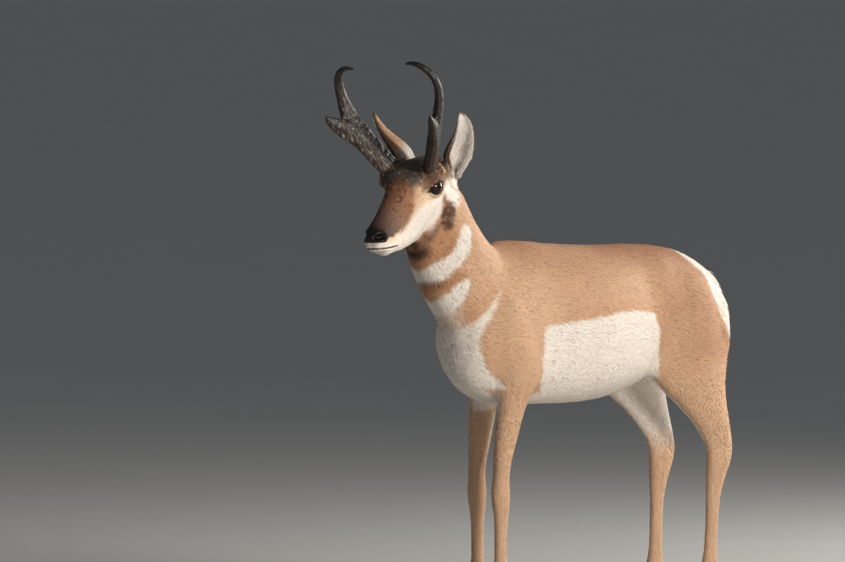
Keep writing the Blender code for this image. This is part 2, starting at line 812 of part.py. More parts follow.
def make_horn(name, side, head):
    """Beam and prong, fused, with the root seated on the skull."""
    root = head_point(HORN_ROOT[0], side * HORN_ROOT[1], HORN_ROOT[2])
    beam = loft("beam", [horn_ring(e) for e in lean_rows(HORN, root, side, HORN_RINGS)])
    prong = loft("prong", [horn_ring(e) for e in lean_rows(PRONG, root, side, PRONG_RINGS)])
    horn = union_of(name, [beam, prong])
    return seated(horn, head)


def seated(thing, host):
    """Cuts a piece back from its host's surface by the gap."""
    skin = copy_of(host, "skin")
    points = vertex_array(skin)
    normals = np.empty(len(points) * 3)
    skin.data.vertices.foreach_get("normal", normals)
    put_vertices(skin, points + normals.reshape(-1, 3) * GAP)
    return carve(thing, skin)


def make_ear(name, side, head):
    """A rolled sheet that opens to the front and side and ends in a point."""
    root = head_point(EAR_ROOT[0], side * EAR_ROOT[1], EAR_ROOT[2])
    facing = LEVEL_FORWARD * math.cos(EAR_FACING)
    facing = facing + LEVEL_LEFT * (side * math.sin(EAR_FACING))
    out, ahead, rise = EAR_REACH
    tip = level_point(root, side, out, ahead, rise * (1.0 + side * UNEVEN))
    axis = (tip - root).normalized()
    facing = (facing - axis * facing.dot(axis)).normalized()
    across = axis.cross(facing)
    rings = []
    last = EAR_ARC_POINTS - 1
    for row in eased(EAR, EAR_RINGS):
        s, radius, half_angle, thick = row
        bow = math.sin(math.pi * s**EAR_BOW_RISE)
        middle = level_point(root.lerp(tip, s), side, EAR_BOW[0] * bow, EAR_BOW[1] * bow, 0.0)
        half_angle = math.radians(half_angle)
        turns = [half_angle * (2.0 * k / last - 1.0) for k in range(EAR_ARC_POINTS)]
        ways = [across * math.sin(turn) - facing * math.cos(turn) for turn in turns]
        ring = [middle + way * radius for way in ways]
        ring += [middle + way * (radius - thick) for way in reversed(ways[1:-1])]
        rings.append(ring)
    ear = loft(name, rings)
    return seated(ear, head)


def eye_frame(side):
    """Centre of an eyeball with its look, length and height directions."""
    centre = head_point(EYE_PLACE[0], side * EYE_PLACE[1], EYE_PLACE[2])
    look = FORWARD * EYE_LOOK[0] + LEVEL_LEFT * (side * EYE_LOOK[1]) + CROWN * EYE_LOOK[2]
    look.normalize()
    length = (FORWARD - look * FORWARD.dot(look)).normalized()
    height = length.cross(look) * side
    if height.dot(CROWN) < 0:
        height = -height
    tilt = LID_TILT
    turned_length = length * math.cos(tilt) + height * math.sin(tilt)
    turned_height = height * math.cos(tilt) - length * math.sin(tilt)
    return centre, look, turned_length, turned_height


def almond(centre, look, length, height, k, count, reach, grow):
    """A point of the opening between the lids, at a distance out along the look."""
    angle = math.tau * k / count
    wide = (LID_OPENING[0] + grow) * math.cos(angle)
    high = (LID_OPENING[1] + grow) * math.sin(angle)
    high = high * (1.0 - LID_CORNER_PINCH * math.cos(angle) ** 2)
    spot = length * wide + height * high
    if reach is None:
        out = math.sqrt((EYE_RADIUS + LID_EDGE) ** 2 - wide**2 - high**2)
        return centre + spot + look * out
    return centre + spot + look * reach


def tube(name, path, radius, closed, sides):
    """A thin round tube through points, open or in a ring."""
    count = len(path)
    rings = []
    for i in range(count):
        if closed:
            ahead = path[(i + 1) % count] - path[i - 1]
        else:
            ahead = path[min(i + 1, count - 1)] - path[max(i - 1, 0)]
        ahead.normalize()
        first = ahead.orthogonal().normalized()
        if rings:
            first = (previous - ahead * previous.dot(ahead)).normalized()
        previous = first
        second = ahead.cross(first)
        ring = []
        for k in range(sides):
            angle = math.tau * k / sides
            spot = first * math.cos(angle) + second * math.sin(angle)
            ring.append(path[i] + spot * radius)
        rings.append(ring)
    if not closed:
        return loft(name, rings)
    points = [p for ring in rings for p in ring]
    start = [(rings[-1][0] - p).length for p in rings[0]]
    offset = start.index(min(start))
    faces = []
    for i in range(count):
        following = (i + 1) % count
        step = offset if following == 0 else 0
        for k in range(sides):
            a = i * sides + k
            b = i * sides + (k + 1) % sides
            c = following * sides + (k + 1 + step) % sides
            e = following * sides + (k + step) % sides
            faces.append((a, b, c, e))
    return face_outwards(make_object(name, points, faces))


def make_eyes(head):
    """An almond opening with a raised lid edge on each side, and an eyeball behind it."""
    for side, name in ((-1, "eye_right"), (1, "eye_left")):
        centre, look, length, height = eye_frame(side)
        axes = (length, height, look)
        frame = (centre, look, length, height)
        grow = LID_EDGE_OFFSET
        rim = [almond(*frame, k, LID_STEPS, None, grow) for k in range(LID_STEPS)]
        carve(head, tube("lid_edge", rim, LID_EDGE, True, LID_SIDES), "UNION")
        opening = [
            [almond(*frame, k, LID_STEPS, reach, 0.0) for k in range(LID_STEPS)]
            for reach in (0.0, LID_CUT_REACH)
        ]
        carve(head, loft("opening", opening))
        room = EYE_RADIUS + GAP
        carve(head, ball("socket", centre, (room, room, room), axes, EYE_SEGMENTS))
        radius = EYE_RADIUS
        ball(name, centre, (radius, radius, radius), axes, EYE_SEGMENTS)


def make_nostrils(head):
    """Two slanting hollows at the front of the nose."""
    for side in (1, -1):
        centre = head_point(NOSTRIL[0], side * NOSTRIL[1], NOSTRIL[2])
        length = FORWARD * NOSTRIL_LENGTH[0] + LEVEL_LEFT * (side * NOSTRIL_LENGTH[1])
        length = (length + CROWN * NOSTRIL_LENGTH[2]).normalized()
        height = (CROWN - length * CROWN.dot(length)).normalized()
        inward = length.cross(height)
        axes = (length, height, inward)
        carve(head, ball("nostril", centre, NOSTRIL_RADII, axes, NOSTRIL_SEGMENTS))


def make_mouth(head):
    """A groove round the muzzle between the lips."""
    mesh = head.data
    mesh.calc_loop_triangles()
    corners = [v.co.copy() for v in mesh.vertices]
    triangles = [tuple(t.vertices) for t in mesh.loop_triangles]
    surface = BVHTree.FromPolygons(corners, triangles)
    start = head_point(MOUTH_MIDDLE[0], 0.0, MOUTH_MIDDLE[1])
    forward = FORWARD * math.cos(MOUTH_RISE) + CROWN * math.sin(MOUTH_RISE)
    path = []
    for i in range(MOUTH_STEPS):
        angle = math.radians(MOUTH_HALF_ANGLE * (2.0 * i / (MOUTH_STEPS - 1) - 1.0))
        way = forward * math.cos(angle) + LEVEL_LEFT * math.sin(angle)
        path.append(surface.ray_cast(start, way)[0])
    carve(head, tube("mouth", path, MOUTH_GROOVE, False, MOUTH_SIDES))


def wedge(name, outline, inner, side, back, grow):
    """A block over an outline in side view, reaching from near the midline outwards."""
    outline = [(x + back, z) for x, z in outline]
    middle = Vector((0.0, 0.0))
    for x, z in outline:
        middle += Vector((x, z)) / len(outline)
    rings = []
    for y in (inner - grow, OUTSIDE + grow):
        ring = []
        count = len(outline)
        for i in range(count):
            before = Vector(outline[i - 1])
            here = Vector(outline[i])
            after = Vector(outline[(i + 1) % count])
            first = (here - before).normalized()
            second = (after - here).normalized()
            push = Vector((first.y, -first.x)) + Vector((second.y, -second.x))
            push = push / (1.0 + first.dot(second))
            if push.dot(here - middle) < 0:
                push = -push
            spot = here + push * grow
            ring.append((spot.x, side * y, spot.y))
        rings.append(ring)
    return loft(name, rings)


def hoof_plane(front_edge, back_edge, back):
    """A point on the coronet's sloping plane and its upward normal."""
    slope = (HOOF_TOP_FRONT - HOOF_TOP_BACK) / (back_edge - front_edge)
    point = Vector((front_edge + back, 0.0, HOOF_TOP_FRONT))
    normal = Vector((slope, 0.0, 1.0)).normalized()
    return point, normal


def make_claw(name, side, inward, front_edge, back_edge, offset, back):
    """One claw: a pointed wall that slopes forward, on a flat sole."""
    point, normal = hoof_plane(front_edge, back_edge, back)
    middle_y = side * (offset + (-1 if inward else 1) * (CLAW_HALF_WIDTH + CLEFT / 2))
    toe = front_edge - HOOF_TOE_REACH + back
    heel = back_edge + HOOF_HEEL_REACH + back
    top_front = front_edge - CLAW_TOP_INSET + back
    top_back = back_edge - CLAW_TOP_INSET + back
    rings = []
    for level in CLAW_LEVELS:
        ring = []
        start = toe + (top_front - toe) * level
        end = heel + (top_back - heel) * level
        edge = CLAW_SOLE_EDGE if level == 0.0 else 1.0
        half = CLAW_HALF_WIDTH * (1.0 - CLAW_TAPER * level) * edge
        for k in range(CLAW_SIDES):
            angle = math.tau * k / CLAW_SIDES
            c = math.cos(angle)
            s = math.sin(angle)
            x = (start + end) / 2 - (end - start) / 2 * c * edge
            narrow = 1.0 - CLAW_TOE_TAPER * max(c, 0.0) ** 1.5
            y = middle_y + half * s * narrow
            top = point.z - (x - point.x) * normal.x / normal.z - GAP
            ring.append((x, y, top * level))
        rings.append(ring)
    return loft(name, rings)


def make_feet(name, side, table, back):
    """The two claws of one foot."""
    front_edge, back_edge, offset = table[-2][1:4]
    make_claw("hoof_" + name + "_outer", side, False, front_edge, back_edge, offset, back)
    make_claw("hoof_" + name + "_inner", side, True, front_edge, back_edge, offset, back)
    return front_edge, back_edge


def leg_shift(kind, side):
    """How far a leg stands behind the left one of its pair."""
    if side < 0:
        return 0.0
    return RIGHT_FORELEG_BACK if kind == "foreleg" else RIGHT_HINDLEG_BACK


def make_legs(body):
    """Each leg cut out of the body, parted at knee or hock and trimmed above its hooves."""
    for kind, outline, inner, table, cut in (
        ("foreleg", FORE_OUTLINE, FORE_INNER, FORELEG, KNEE_CUT),
        ("hindleg", HIND_OUTLINE, HIND_INNER, HINDLEG, HOCK_CUT),
    ):
        for side, hand in ((1, "right"), (-1, "left")):
            back = leg_shift(kind, side)
            leg = copy_of(body, "leg")
            carve(leg, wedge("part", outline, inner, side, back, 0.0), "INTERSECT")
            foot = kind[:4] + "_" + hand
            front_edge, back_edge = make_feet(foot, side, table, back)
            point, normal = hoof_plane(front_edge, back_edge, back)
            upper = copy_of(leg, kind + "_" + hand + "_upper")
            keep_side(upper, (0, 0, cut + GAP / 2), (0, 0, 1))
            lower = leg
            lower.name = kind + "_" + hand + "_lower"
            keep_side(lower, (0, 0, cut - GAP / 2), (0, 0, -1))
            keep_side(lower, point, normal)


def make_tail(torso):
    """A short tail that lies down over the rump."""
    rings = []
    rows = along(TAIL, TAIL_RINGS)
    for i, row in enumerate(rows):
        x, z, half, thick = row
        before = rows[max(i - 1, 0)]
        after = rows[min(i + 1, len(rows) - 1)]
        down = Vector((after[0] - before[0], 0.0, after[1] - before[1])).normalized()
        out = Vector((-down.z, 0.0, down.x))
        ring = []
        for k in range(TAIL_SIDES):
            angle = math.tau * k / TAIL_SIDES
            ring.append(
                Vector((x, 0.0, z))
                + out * (thick * math.cos(angle))
                + Vector((0.0, half * math.sin(angle), 0.0))
            )
        rings.append(ring)
    return seated(loft("tail", rings), torso)


def make_flesh():
    """Head, neck, torso and legs from the fused body, parted by thin cuts."""
    body = make_body()
    fine = thinned(copy_of(body, "fine"), HEAD_MESH_TRIANGLES)
    middle = thinned(copy_of(body, "middle"), LEG_MESH_TRIANGLES)
    coarse = thinned(body, TORSO_MESH_TRIANGLES)

    head = fine
    head.name = "head"
    keep_side(head, HEAD_CUT_POINT + HEAD_CUT_NORMAL * (GAP / 2), HEAD_CUT_NORMAL)

    neck = copy_of(coarse, "neck")
    keep_side(neck, HEAD_CUT_POINT - HEAD_CUT_NORMAL * (GAP / 2), -HEAD_CUT_NORMAL)
    keep_side(neck, NECK_CUT_POINT + NECK_CUT_NORMAL * (GAP / 2), NECK_CUT_NORMAL)

    torso = coarse
    torso.name = "torso"
    keep_side(torso, NECK_CUT_POINT - NECK_CUT_NORMAL * (GAP / 2), -NECK_CUT_NORMAL)
    for kind, outline, inner in (
        ("foreleg", FORE_OUTLINE, FORE_INNER),
        ("hindleg", HIND_OUTLINE, HIND_INNER),
    ):
        for side in (1, -1):
            back = leg_shift(kind, side)
            carve(torso, wedge("room", outline, inner, side, back, GAP))

    make_legs(middle)
    discard([middle])
    return head, torso


def give_material(thing, colour, roughness):
    """A Principled material of its own for each node."""
    material = bpy.data.materials.new(thing.name)
    material.use_nodes = True
    shader = material.node_tree.nodes["Principled BSDF"]
    shader.inputs["Base Color"].default_value = (*colour, 1.0)
    shader.inputs["Roughness"].default_value = roughness
    thing.data.materials.clear()
    thing.data.materials.append(material)


def finish_nodes():
    """Moves the animal over the origin, shades it smooth and gives the materials."""
    points = np.concatenate([vertex_array(thing) for thing in bpy.data.objects])
    middle = (points.min(axis=0) + points.max(axis=0)) / 2
    shift = Matrix.Translation((-middle[0], -middle[1], 0.0))
    for thing in list(bpy.data.objects):
        thing.data.transform(shift)
        clean_triangles(thing)
        for start, colour, roughness in FINISH:
            if thing.name.startswith(start):
                give_material(thing, colour, roughness)
                break
        thing.data.shade_smooth()
        thing.data.set_sharp_from_angle(angle=SHARP_EDGE)


def main():
    """Builds every node."""
    clear_scene()
    head, torso = make_flesh()
    make_tail(torso)
    make_eyes(head)
    make_nostrils(head)
    make_mouth(head)
    for side, hand in ((1, "left"), (-1, "right")):
        make_horn("horn_" + hand, side, head)
        make_ear("ear_" + hand, side, head)
    finish_nodes()


main()
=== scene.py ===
# %% [markdown]
# # A pronghorn buck, dressed in skin, coat, horn and hoof
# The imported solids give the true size, outline and pose. This lesson lays the looks over them: one
# skin in place of the separate flesh solids, short fur in thousands of small tufts, finer horns,
# hooves, ears and eyes. Everything is in metres in the frame of the solids.

# %% Load the solids
import json
import math

import bpy
import numpy as np
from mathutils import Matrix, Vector

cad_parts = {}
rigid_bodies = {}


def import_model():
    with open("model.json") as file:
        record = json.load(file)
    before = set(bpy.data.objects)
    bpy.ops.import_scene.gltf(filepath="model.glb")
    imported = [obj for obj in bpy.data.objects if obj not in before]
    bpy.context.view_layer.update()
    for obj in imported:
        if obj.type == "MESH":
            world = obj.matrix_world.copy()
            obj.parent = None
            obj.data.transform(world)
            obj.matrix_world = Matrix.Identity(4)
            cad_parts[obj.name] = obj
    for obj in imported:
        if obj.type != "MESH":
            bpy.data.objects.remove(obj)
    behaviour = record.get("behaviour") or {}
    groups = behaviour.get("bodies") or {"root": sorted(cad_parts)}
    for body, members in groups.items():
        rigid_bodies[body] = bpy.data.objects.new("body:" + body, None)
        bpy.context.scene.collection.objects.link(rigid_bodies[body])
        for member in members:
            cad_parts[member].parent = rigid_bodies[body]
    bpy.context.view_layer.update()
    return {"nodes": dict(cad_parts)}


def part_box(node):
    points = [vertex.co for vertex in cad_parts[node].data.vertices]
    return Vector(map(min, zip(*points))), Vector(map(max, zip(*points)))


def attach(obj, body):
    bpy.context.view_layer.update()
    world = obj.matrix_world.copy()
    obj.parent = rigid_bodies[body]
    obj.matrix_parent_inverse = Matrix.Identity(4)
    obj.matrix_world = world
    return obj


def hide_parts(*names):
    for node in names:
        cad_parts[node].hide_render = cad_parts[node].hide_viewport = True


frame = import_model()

# %% [markdown]
# ## Where things are on the animal
# Lengths along the body are measured back from the foreleg line, and places on the head from the
# middle between the eyes: forward to the nose, left, and up. Named directions keep every later
# number readable. The eyes of the solids say where that head frame sits.

# %% Body and head frames
HEAD_TURN = math.radians(16.0)
HEAD_PITCH = math.radians(33.5)
LEVEL_FORWARD = np.array([-math.cos(HEAD_TURN), -math.sin(HEAD_TURN), 0.0])
LEVEL_LEFT = np.array([math.sin(HEAD_TURN), -math.cos(HEAD_TURN), 0.0])
UPRIGHT = np.array([0.0, 0.0, 1.0])
FORWARD = LEVEL_FORWARD * math.cos(HEAD_PITCH) - UPRIGHT * math.sin(HEAD_PITCH)
CROWN = LEVEL_FORWARD * math.sin(HEAD_PITCH) + UPRIGHT * math.cos(HEAD_PITCH)
HEAD_AXES = np.array([FORWARD, LEVEL_LEFT, CROWN])
EYE_PLACE = (0.0040, 0.0515, 0.0030)
EYE_RADIUS = 0.0222
EYE_SHIFT = (-0.0030, 0.0020, -0.0050)
EYES_IN_BODY = np.array([-0.249, -0.025, 1.014])


def middle_of(node):
    """The middle of a solid's box."""
    low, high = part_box(node)
    return (np.array(low) + np.array(high)) / 2


eye_middle = (middle_of("eye_left") + middle_of("eye_right")) / 2
EYES = eye_middle - FORWARD * EYE_PLACE[0] - CROWN * EYE_PLACE[2]
TO_BODY = EYES_IN_BODY - EYES
print("middle between the eyes", EYES.round(4), "shift to body frame", TO_BODY.round(5))


def head_point(forward, left, up):
    """A place given in the head frame."""
    return EYES + FORWARD * forward + LEVEL_LEFT * left + CROWN * up


def in_head(points):
    """Forward, left and up of points, in the head frame."""
    return (points - EYES) @ HEAD_AXES.T


def in_half_head(points):
    """The same with the right half laid over the left, since both are alike."""
    head = in_head(points)
    head[:, 1] = abs(head[:, 1])
    return head


# %% [markdown]
# ## Camera
# The photograph was taken from far away with a long lens, so the camera stands far back too and
# its lens is long. It looks from ahead of the animal's left side, a little above level.

# %% Camera at the photograph's angle
PHOTO_WIDTH, PHOTO_HEIGHT = 845, 562
PIXELS_A_METRE = 440.0
CAMERA_TURN = math.radians(-40.0)
CAMERA_RISE = math.radians(2.5)
CAMERA_DISTANCE = 42.0
SENSOR = 36.0
AIM_PIXEL = (490.0, 241.0)
AIM_BODY = np.array([0.0, 0.0, 0.88])

view_right = np.array([math.cos(CAMERA_TURN), math.sin(CAMERA_TURN), 0.0])
view_back = np.array([
    math.sin(CAMERA_TURN) * math.cos(CAMERA_RISE),
    -math.cos(CAMERA_TURN) * math.cos(CAMERA_RISE),
    math.sin(CAMERA_RISE),
])
view_up = np.cross(view_back, view_right)
centre = AIM_BODY - TO_BODY * np.array([1.0, 1.0, 0.0])
centre = centre + view_right * (PHOTO_WIDTH / 2 - AIM_PIXEL[0]) / PIXELS_A_METRE
centre = centre - view_up * (PHOTO_HEIGHT / 2 - AIM_PIXEL[1]) / PIXELS_A_METRE
bpy.ops.object.camera_add(
    location=tuple(centre + view_back * CAMERA_DISTANCE),
    rotation=(math.pi / 2 - CAMERA_RISE, 0.0, CAMERA_TURN),
)
camera = bpy.context.object
camera.name = "camera"
camera.data.sensor_width = SENSOR
camera.data.lens = SENSOR * CAMERA_DISTANCE * PIXELS_A_METRE / PHOTO_WIDTH
camera.data.clip_start = 1.0
camera.data.clip_end = 400.0
bpy.context.scene.camera = camera
print("lens", round(camera.data.lens, 1), "mm, camera at", [round(v, 2) for v in camera.location])

# %% [markdown]
# ## Light and floor
# A large soft lamp stands where the photograph's sun is, to the right of the camera's line and a
# little above the animal. A weak one in line with the camera opens the shadows, and a third lights
# the rump from behind. The floor is a plain pale sheet that runs to the horizon.

# %% Studio light and floor
# name, place, size in metres, watts and colour
LAMPS = (
    ("key", (-0.75, -5.60, 2.20), 1.2, 262.0, (1.0, 0.945, 0.87)),
    ("fill", (-3.2, -3.9, 2.4), 3.0, 7.0, (0.96, 0.98, 1.0)),
    ("rim", (5.2, -0.6, 2.2), 2.2, 270.0, (1.0, 0.96, 0.90)),
)
LAMP_AIM = Vector((0.0, 0.0, 0.7))
SKY_COLOUR = (0.80, 0.84, 0.90, 1.0)
SKY_STRENGTH = 0.15
FLOOR_SIZE = 300.0

for name, place, size, power, tint in LAMPS:
    bpy.ops.object.light_add(type="AREA", location=place)
    lamp = bpy.context.object
    lamp.name = name
    lamp.data.size = size
    lamp.data.energy = power
    lamp.data.color = tint
    toward = LAMP_AIM - Vector(place)
    lamp.rotation_euler = toward.to_track_quat("-Z", "Y").to_euler()

world = bpy.data.worlds.new("studio")
bpy.context.scene.world = world
world.use_nodes = True
sky = world.node_tree.nodes["Background"]
sky.inputs["Color"].default_value = SKY_COLOUR
sky.inputs["Strength"].default_value = SKY_STRENGTH
bpy.context.scene.view_settings.view_transform = "Standard"

bpy.ops.mesh.primitive_plane_add(size=FLOOR_SIZE, location=(0.0, 0.0, 0.0))
floor = bpy.context.object
floor.name = "studio_floor"
print("lamps", [lamp[0] for lamp in LAMPS])

# %% [markdown]
# ## Helpers
# A few small tools are used on every piece: copy a solid and merge its loose triangles, apply a
# modifier, read and move all points at once, and a smooth random field for natural unevenness.

# %% Small tools
SIDES = ((1, "left"), (-1, "right"))
MERGE_WITHIN = 0.00001
RELAX_STEPS = (0.5, -0.52)
LATTICE = 32
LATTICE_START = 1000.0
UNWRAP_ANGLE = math.radians(66.0)
TINY = 1e-9


def alone(thing):
    """Selects one object only and makes it active."""
    bpy.ops.object.select_all(action="DESELECT")
    thing.select_set(True)
    bpy.context.view_layer.objects.active = thing


def merged_copy(nodes, name):
    """One object from copies of solids, with their loose triangles merged."""
    copies = []
    for node in nodes:
        twin = frame["nodes"][node].copy()
        twin.data = twin.data.copy()
        twin.parent = None
        for key in list(twin.keys()):
            del twin[key]
        bpy.context.scene.collection.objects.link(twin)
        copies.append(twin)
    alone(copies[0])
    for twin in copies:
        twin.select_set(True)
    if len(copies) > 1:
        bpy.ops.object.join()
    whole = bpy.context.view_layer.objects.active
    whole.name = name
    whole.data.name = name
    whole.data.materials.clear()
    alone(whole)
    bpy.ops.object.mode_set(mode="EDIT")
    bpy.ops.mesh.select_all(action="SELECT")
    bpy.ops.mesh.remove_doubles(threshold=MERGE_WITHIN)
    bpy.ops.object.mode_set(mode="OBJECT")
    return whole


def use_modifier(thing, kind, **settings):
    """Adds one modifier and applies it."""
    alone(thing)
    modifier = thing.modifiers.new(kind.title(), kind)
    for key, value in settings.items():
        setattr(modifier, key, value)
    bpy.ops.object.modifier_apply(modifier=modifier.name)


def read(items, field, width, kind=float):
    """One field of all points, edges or faces, a row for each."""
    flat = np.empty(len(items) * width, kind)
    items.foreach_get(field, flat)
    return flat.reshape(-1, width)


def points_of(thing):
    """All points as an array."""
    return read(thing.data.vertices, "co", 3)


def normals_of(thing):
    """The outward direction at every point."""
    return read(thing.data.vertices, "normal", 3)


def move_points(thing, points):
    """Puts all points in new places."""
    thing.data.vertices.foreach_set("co", points.ravel())
    thing.data.update()


def relax(thing, rounds, weight=1.0):
    """Evens the surface by neighbour averages, with a counter step so that it doesn't shrink."""
    ends = read(thing.data.edges, "vertices", 2, np.int64)
    points = points_of(thing)
    count = np.bincount(ends.ravel(), minlength=len(points)).astype(float)[:, None]
    weight = np.broadcast_to(np.asarray(weight, float), (len(points),))[:, None]
    for _ in range(rounds):
        for rate in RELAX_STEPS:
            total = np.zeros_like(points)
            for axis in range(3):
                total[:, axis] = np.bincount(
                    ends[:, 0], weights=points[ends[:, 1], axis], minlength=len(points)
                ) + np.bincount(
                    ends[:, 1], weights=points[ends[:, 0], axis], minlength=len(points)
                )
            points = points + weight * rate * (total / count - points)
    move_points(thing, points)


def new_net(thing, size, rounds):
    """Wraps a surface in a fresh net of even quads and evens it."""
    use_modifier(thing, "REMESH", mode="VOXEL", voxel_size=size)
    relax(thing, rounds)


def smooth(thing):
    """Shades a surface smooth."""
    alone(thing)
    bpy.ops.object.shade_smooth()


def unwrap(thing, margin):
    """Unfolds the surface into the map that holds the tufts' patches."""
    alone(thing)
    thing.data.uv_layers.new(name="OFBake")
    bpy.ops.object.mode_set(mode="EDIT")
    bpy.ops.mesh.select_all(action="SELECT")
    bpy.ops.uv.smart_project(angle_limit=UNWRAP_ANGLE, island_margin=margin)
    bpy.ops.object.mode_set(mode="OBJECT")


def paint(thing, colour, name):
    """Stores a colour per point for the material to read."""
    layer = thing.data.attributes.new(name, "FLOAT_COLOR", "POINT")
    full = np.ones((len(colour), 4), np.float32)
    full[:, :3] = colour
    layer.data.foreach_set("color", full.ravel())


def ramp(value, low, high):
    """0 below low, 1 above high, and a smooth rise between."""
    t = np.clip((value - low) / (high - low), 0.0, 1.0)
    return t * t * (3.0 - 2.0 * t)


def fall(value, low, high):
    """1 below low, 0 above high, and a smooth fall between."""
    return ramp(-value, -high, -low)


def beyond(value, soft):
    """1 where a value is over zero and 0 where it is under, with a soft edge."""
    return ramp(value, -soft, soft)


def hump(value, middle, width):
    """1 at the middle, falling away smoothly on both sides."""
    return np.exp(-(((value - middle) / width) ** 2))


def oval(points, middle, radii):
    """Distance from a middle, counted in the radii of an oval."""
    return np.linalg.norm((points - np.array(middle)) / np.array(radii), axis=1)


def unit(vectors, least=0.0):
    """The same directions at length one; least guards against a length of zero."""
    return vectors / (np.linalg.norm(vectors, axis=-1, keepdims=True) + least)


def flat_on(way, out):
    """The part of each direction that lies along the surface, at length one."""
    return unit(way - out * np.sum(way * out, axis=1)[:, None], TINY)


def unevenness(points, cell, seed):
    """A smooth random field between -1 and 1, whose lumps are about one cell across."""
    rng = np.random.default_rng(seed)
    lattice = rng.uniform(-1.0, 1.0, (LATTICE, LATTICE, LATTICE))
    scaled = points / cell + LATTICE_START
    base = np.floor(scaled).astype(np.int64)
    t = scaled - base
    t = t * t * (3.0 - 2.0 * t)
    out = np.zeros(len(points))
    for corner in range(8):
        step = np.array([corner & 1, (corner >> 1) & 1, (corner >> 2) & 1])
        place = (base + step) % LATTICE
        share = np.prod(np.where(step == 1, t, 1.0 - t), axis=1)
        out += share * lattice[place[:, 0], place[:, 1], place[:, 2]]
    return out


def lumps(points, cell, seed, gain=1.0, start=0.0):
    """The high parts of the random field, 0 to 1."""
    return np.clip(unevenness(points, cell, seed) * gain + start, 0.0, 1.0)


def srgb(red, green, blue):
    """A colour as a painter reads it, 0 to 255, made linear for the shaders."""
    values = np.array([red, green, blue]) / 255.0
    return np.where(values <= 0.04045, values / 12.92, ((values + 0.055) / 1.055) ** 2.4)


def lay(colour, target, mask):
    """Lays a colour over the colours per point, as far as a mask says."""
    colour += (target - colour) * mask[:, None]


# %% [markdown]
# ## Regions and the lie of the coat
# Hair on a hoofed animal grows back from the nose over the head, down the neck, back and down over
# the trunk, and straight down the legs. Each region also has its own coat depth, hair length and
# hair width. One function answers for any place, so that skin and tufts agree.

# %% Coat by region
# how much an eye looks forward, outward and up, and the tilt of its lids
EYE_LOOK = (0.31, 0.93, -0.03)
EYE_TILT = math.radians(17.0)
LID_HALF_LENGTH = 0.0178
LID_HALF_HEIGHT = 0.0128
LID_PINCH = 0.25
# lids count only this near an eye, and all other places get this measure
EYE_REACH = 0.06
NO_LID = 9.0
# root of a horn in the head frame, and the oval of longer hair round it
HORN_ROOT = (-0.014, 0.0475, 0.030)
HORN_HAIR = (0.040, 0.026, 0.022)
# cuts and neck line in the body frame: a point and a direction each
HEAD_CUT = (np.array([-0.176, -0.010, 0.985]), np.array([-0.900, -0.080, 0.430]))
NECK_CUT = (np.array([-0.065, 0.0, 0.806]), np.array([-0.720, 0.0, 0.694]))
NECK_ROOT = np.array([0.010, 0.0, 0.690])
NECK_ALONG = np.array([-0.551, 0.0, 0.834])
NECK_FRONT = np.array([-0.834, 0.0, -0.551])

# near the lids the hair is shorter, keeps less of its own way and parts away from the eye, and
# over the eye it leans outward
SHORTER_AT_EYE = 0.45
LESS_AT_EYE = 0.6
PART_AT_EYE = 1.1
BROW_OUTWARD = 0.35
# size and strength of the waves in the lie of the coat
WAVES = ((0.05, 0.16), (0.012, 0.09))
# coat depth over the skin, hair length and tuft width, in metres
COAT = {
    "trunk": (0.0036, 0.0175, 0.0025),
    "rump": (0.0090, 0.0300, 0.0032),
    "tail": (0.0060, 0.0300, 0.0030),
    "neck": (0.0048, 0.0190, 0.0024),
    "crown": (0.0050, 0.0150, 0.0020),
    "brow": (0.0060, 0.0150, 0.0019),
    "face": (0.0015, 0.0075, 0.0012),
    "muzzle": (0.0008, 0.0040, 0.0010),
    "thigh": (0.0028, 0.0145, 0.0024),
    "shank": (0.0016, 0.0110, 0.0021),
}


def eye_axes(side):
    """Middle of an eyeball, its length along the lids, its height and its look."""
    look = unit(FORWARD * EYE_LOOK[0] + LEVEL_LEFT * (side * EYE_LOOK[1]) + CROWN * EYE_LOOK[2])
    length = unit(FORWARD - look * np.dot(FORWARD, look))
    height = np.cross(length, look) * side
    if np.dot(height, CROWN) < 0:
        height = -height
    long_way = length * math.cos(EYE_TILT) + height * math.sin(EYE_TILT)
    high_way = height * math.cos(EYE_TILT) - length * math.sin(EYE_TILT)
    place = np.array(EYE_PLACE) + np.array(EYE_SHIFT)
    return head_point(place[0], side * place[1], place[2]), long_way, high_way, look


def lid_measure(points, side):
    """1 on the lid's edge, less inside and more outside, and the offset from the eye's middle."""
    middle, long_way, high_way, look = eye_axes(side)
    away = points - middle
    along = away @ long_way / LID_HALF_LENGTH
    across = away @ high_way / LID_HALF_HEIGHT
    # the corners are pointed, so the opening closes faster towards them
    pinch = 1.0 - LID_PINCH * np.clip(along, -1.0, 1.0) ** 2
    measure = np.sqrt(along**2 + (across / pinch) ** 2)
    near = (away @ look > 0.0) & (np.linalg.norm(away, axis=1) < EYE_REACH)
    return np.where(near, measure, NO_LID), away, along, across


def nearest_lid(points):
    """The smaller of the two eyes' lid measures."""
    return np.minimum(lid_measure(points, 1)[0], lid_measure(points, -1)[0])


def side_of(points, cut):
    """Signed distance from a cut plane, positive towards the head."""
    point, normal = cut
    return (points - point) @ unit(normal)


def past_neck(points):
    """Signed distance past the cut between neck and head."""
    return side_of(points + TO_BODY, HEAD_CUT)


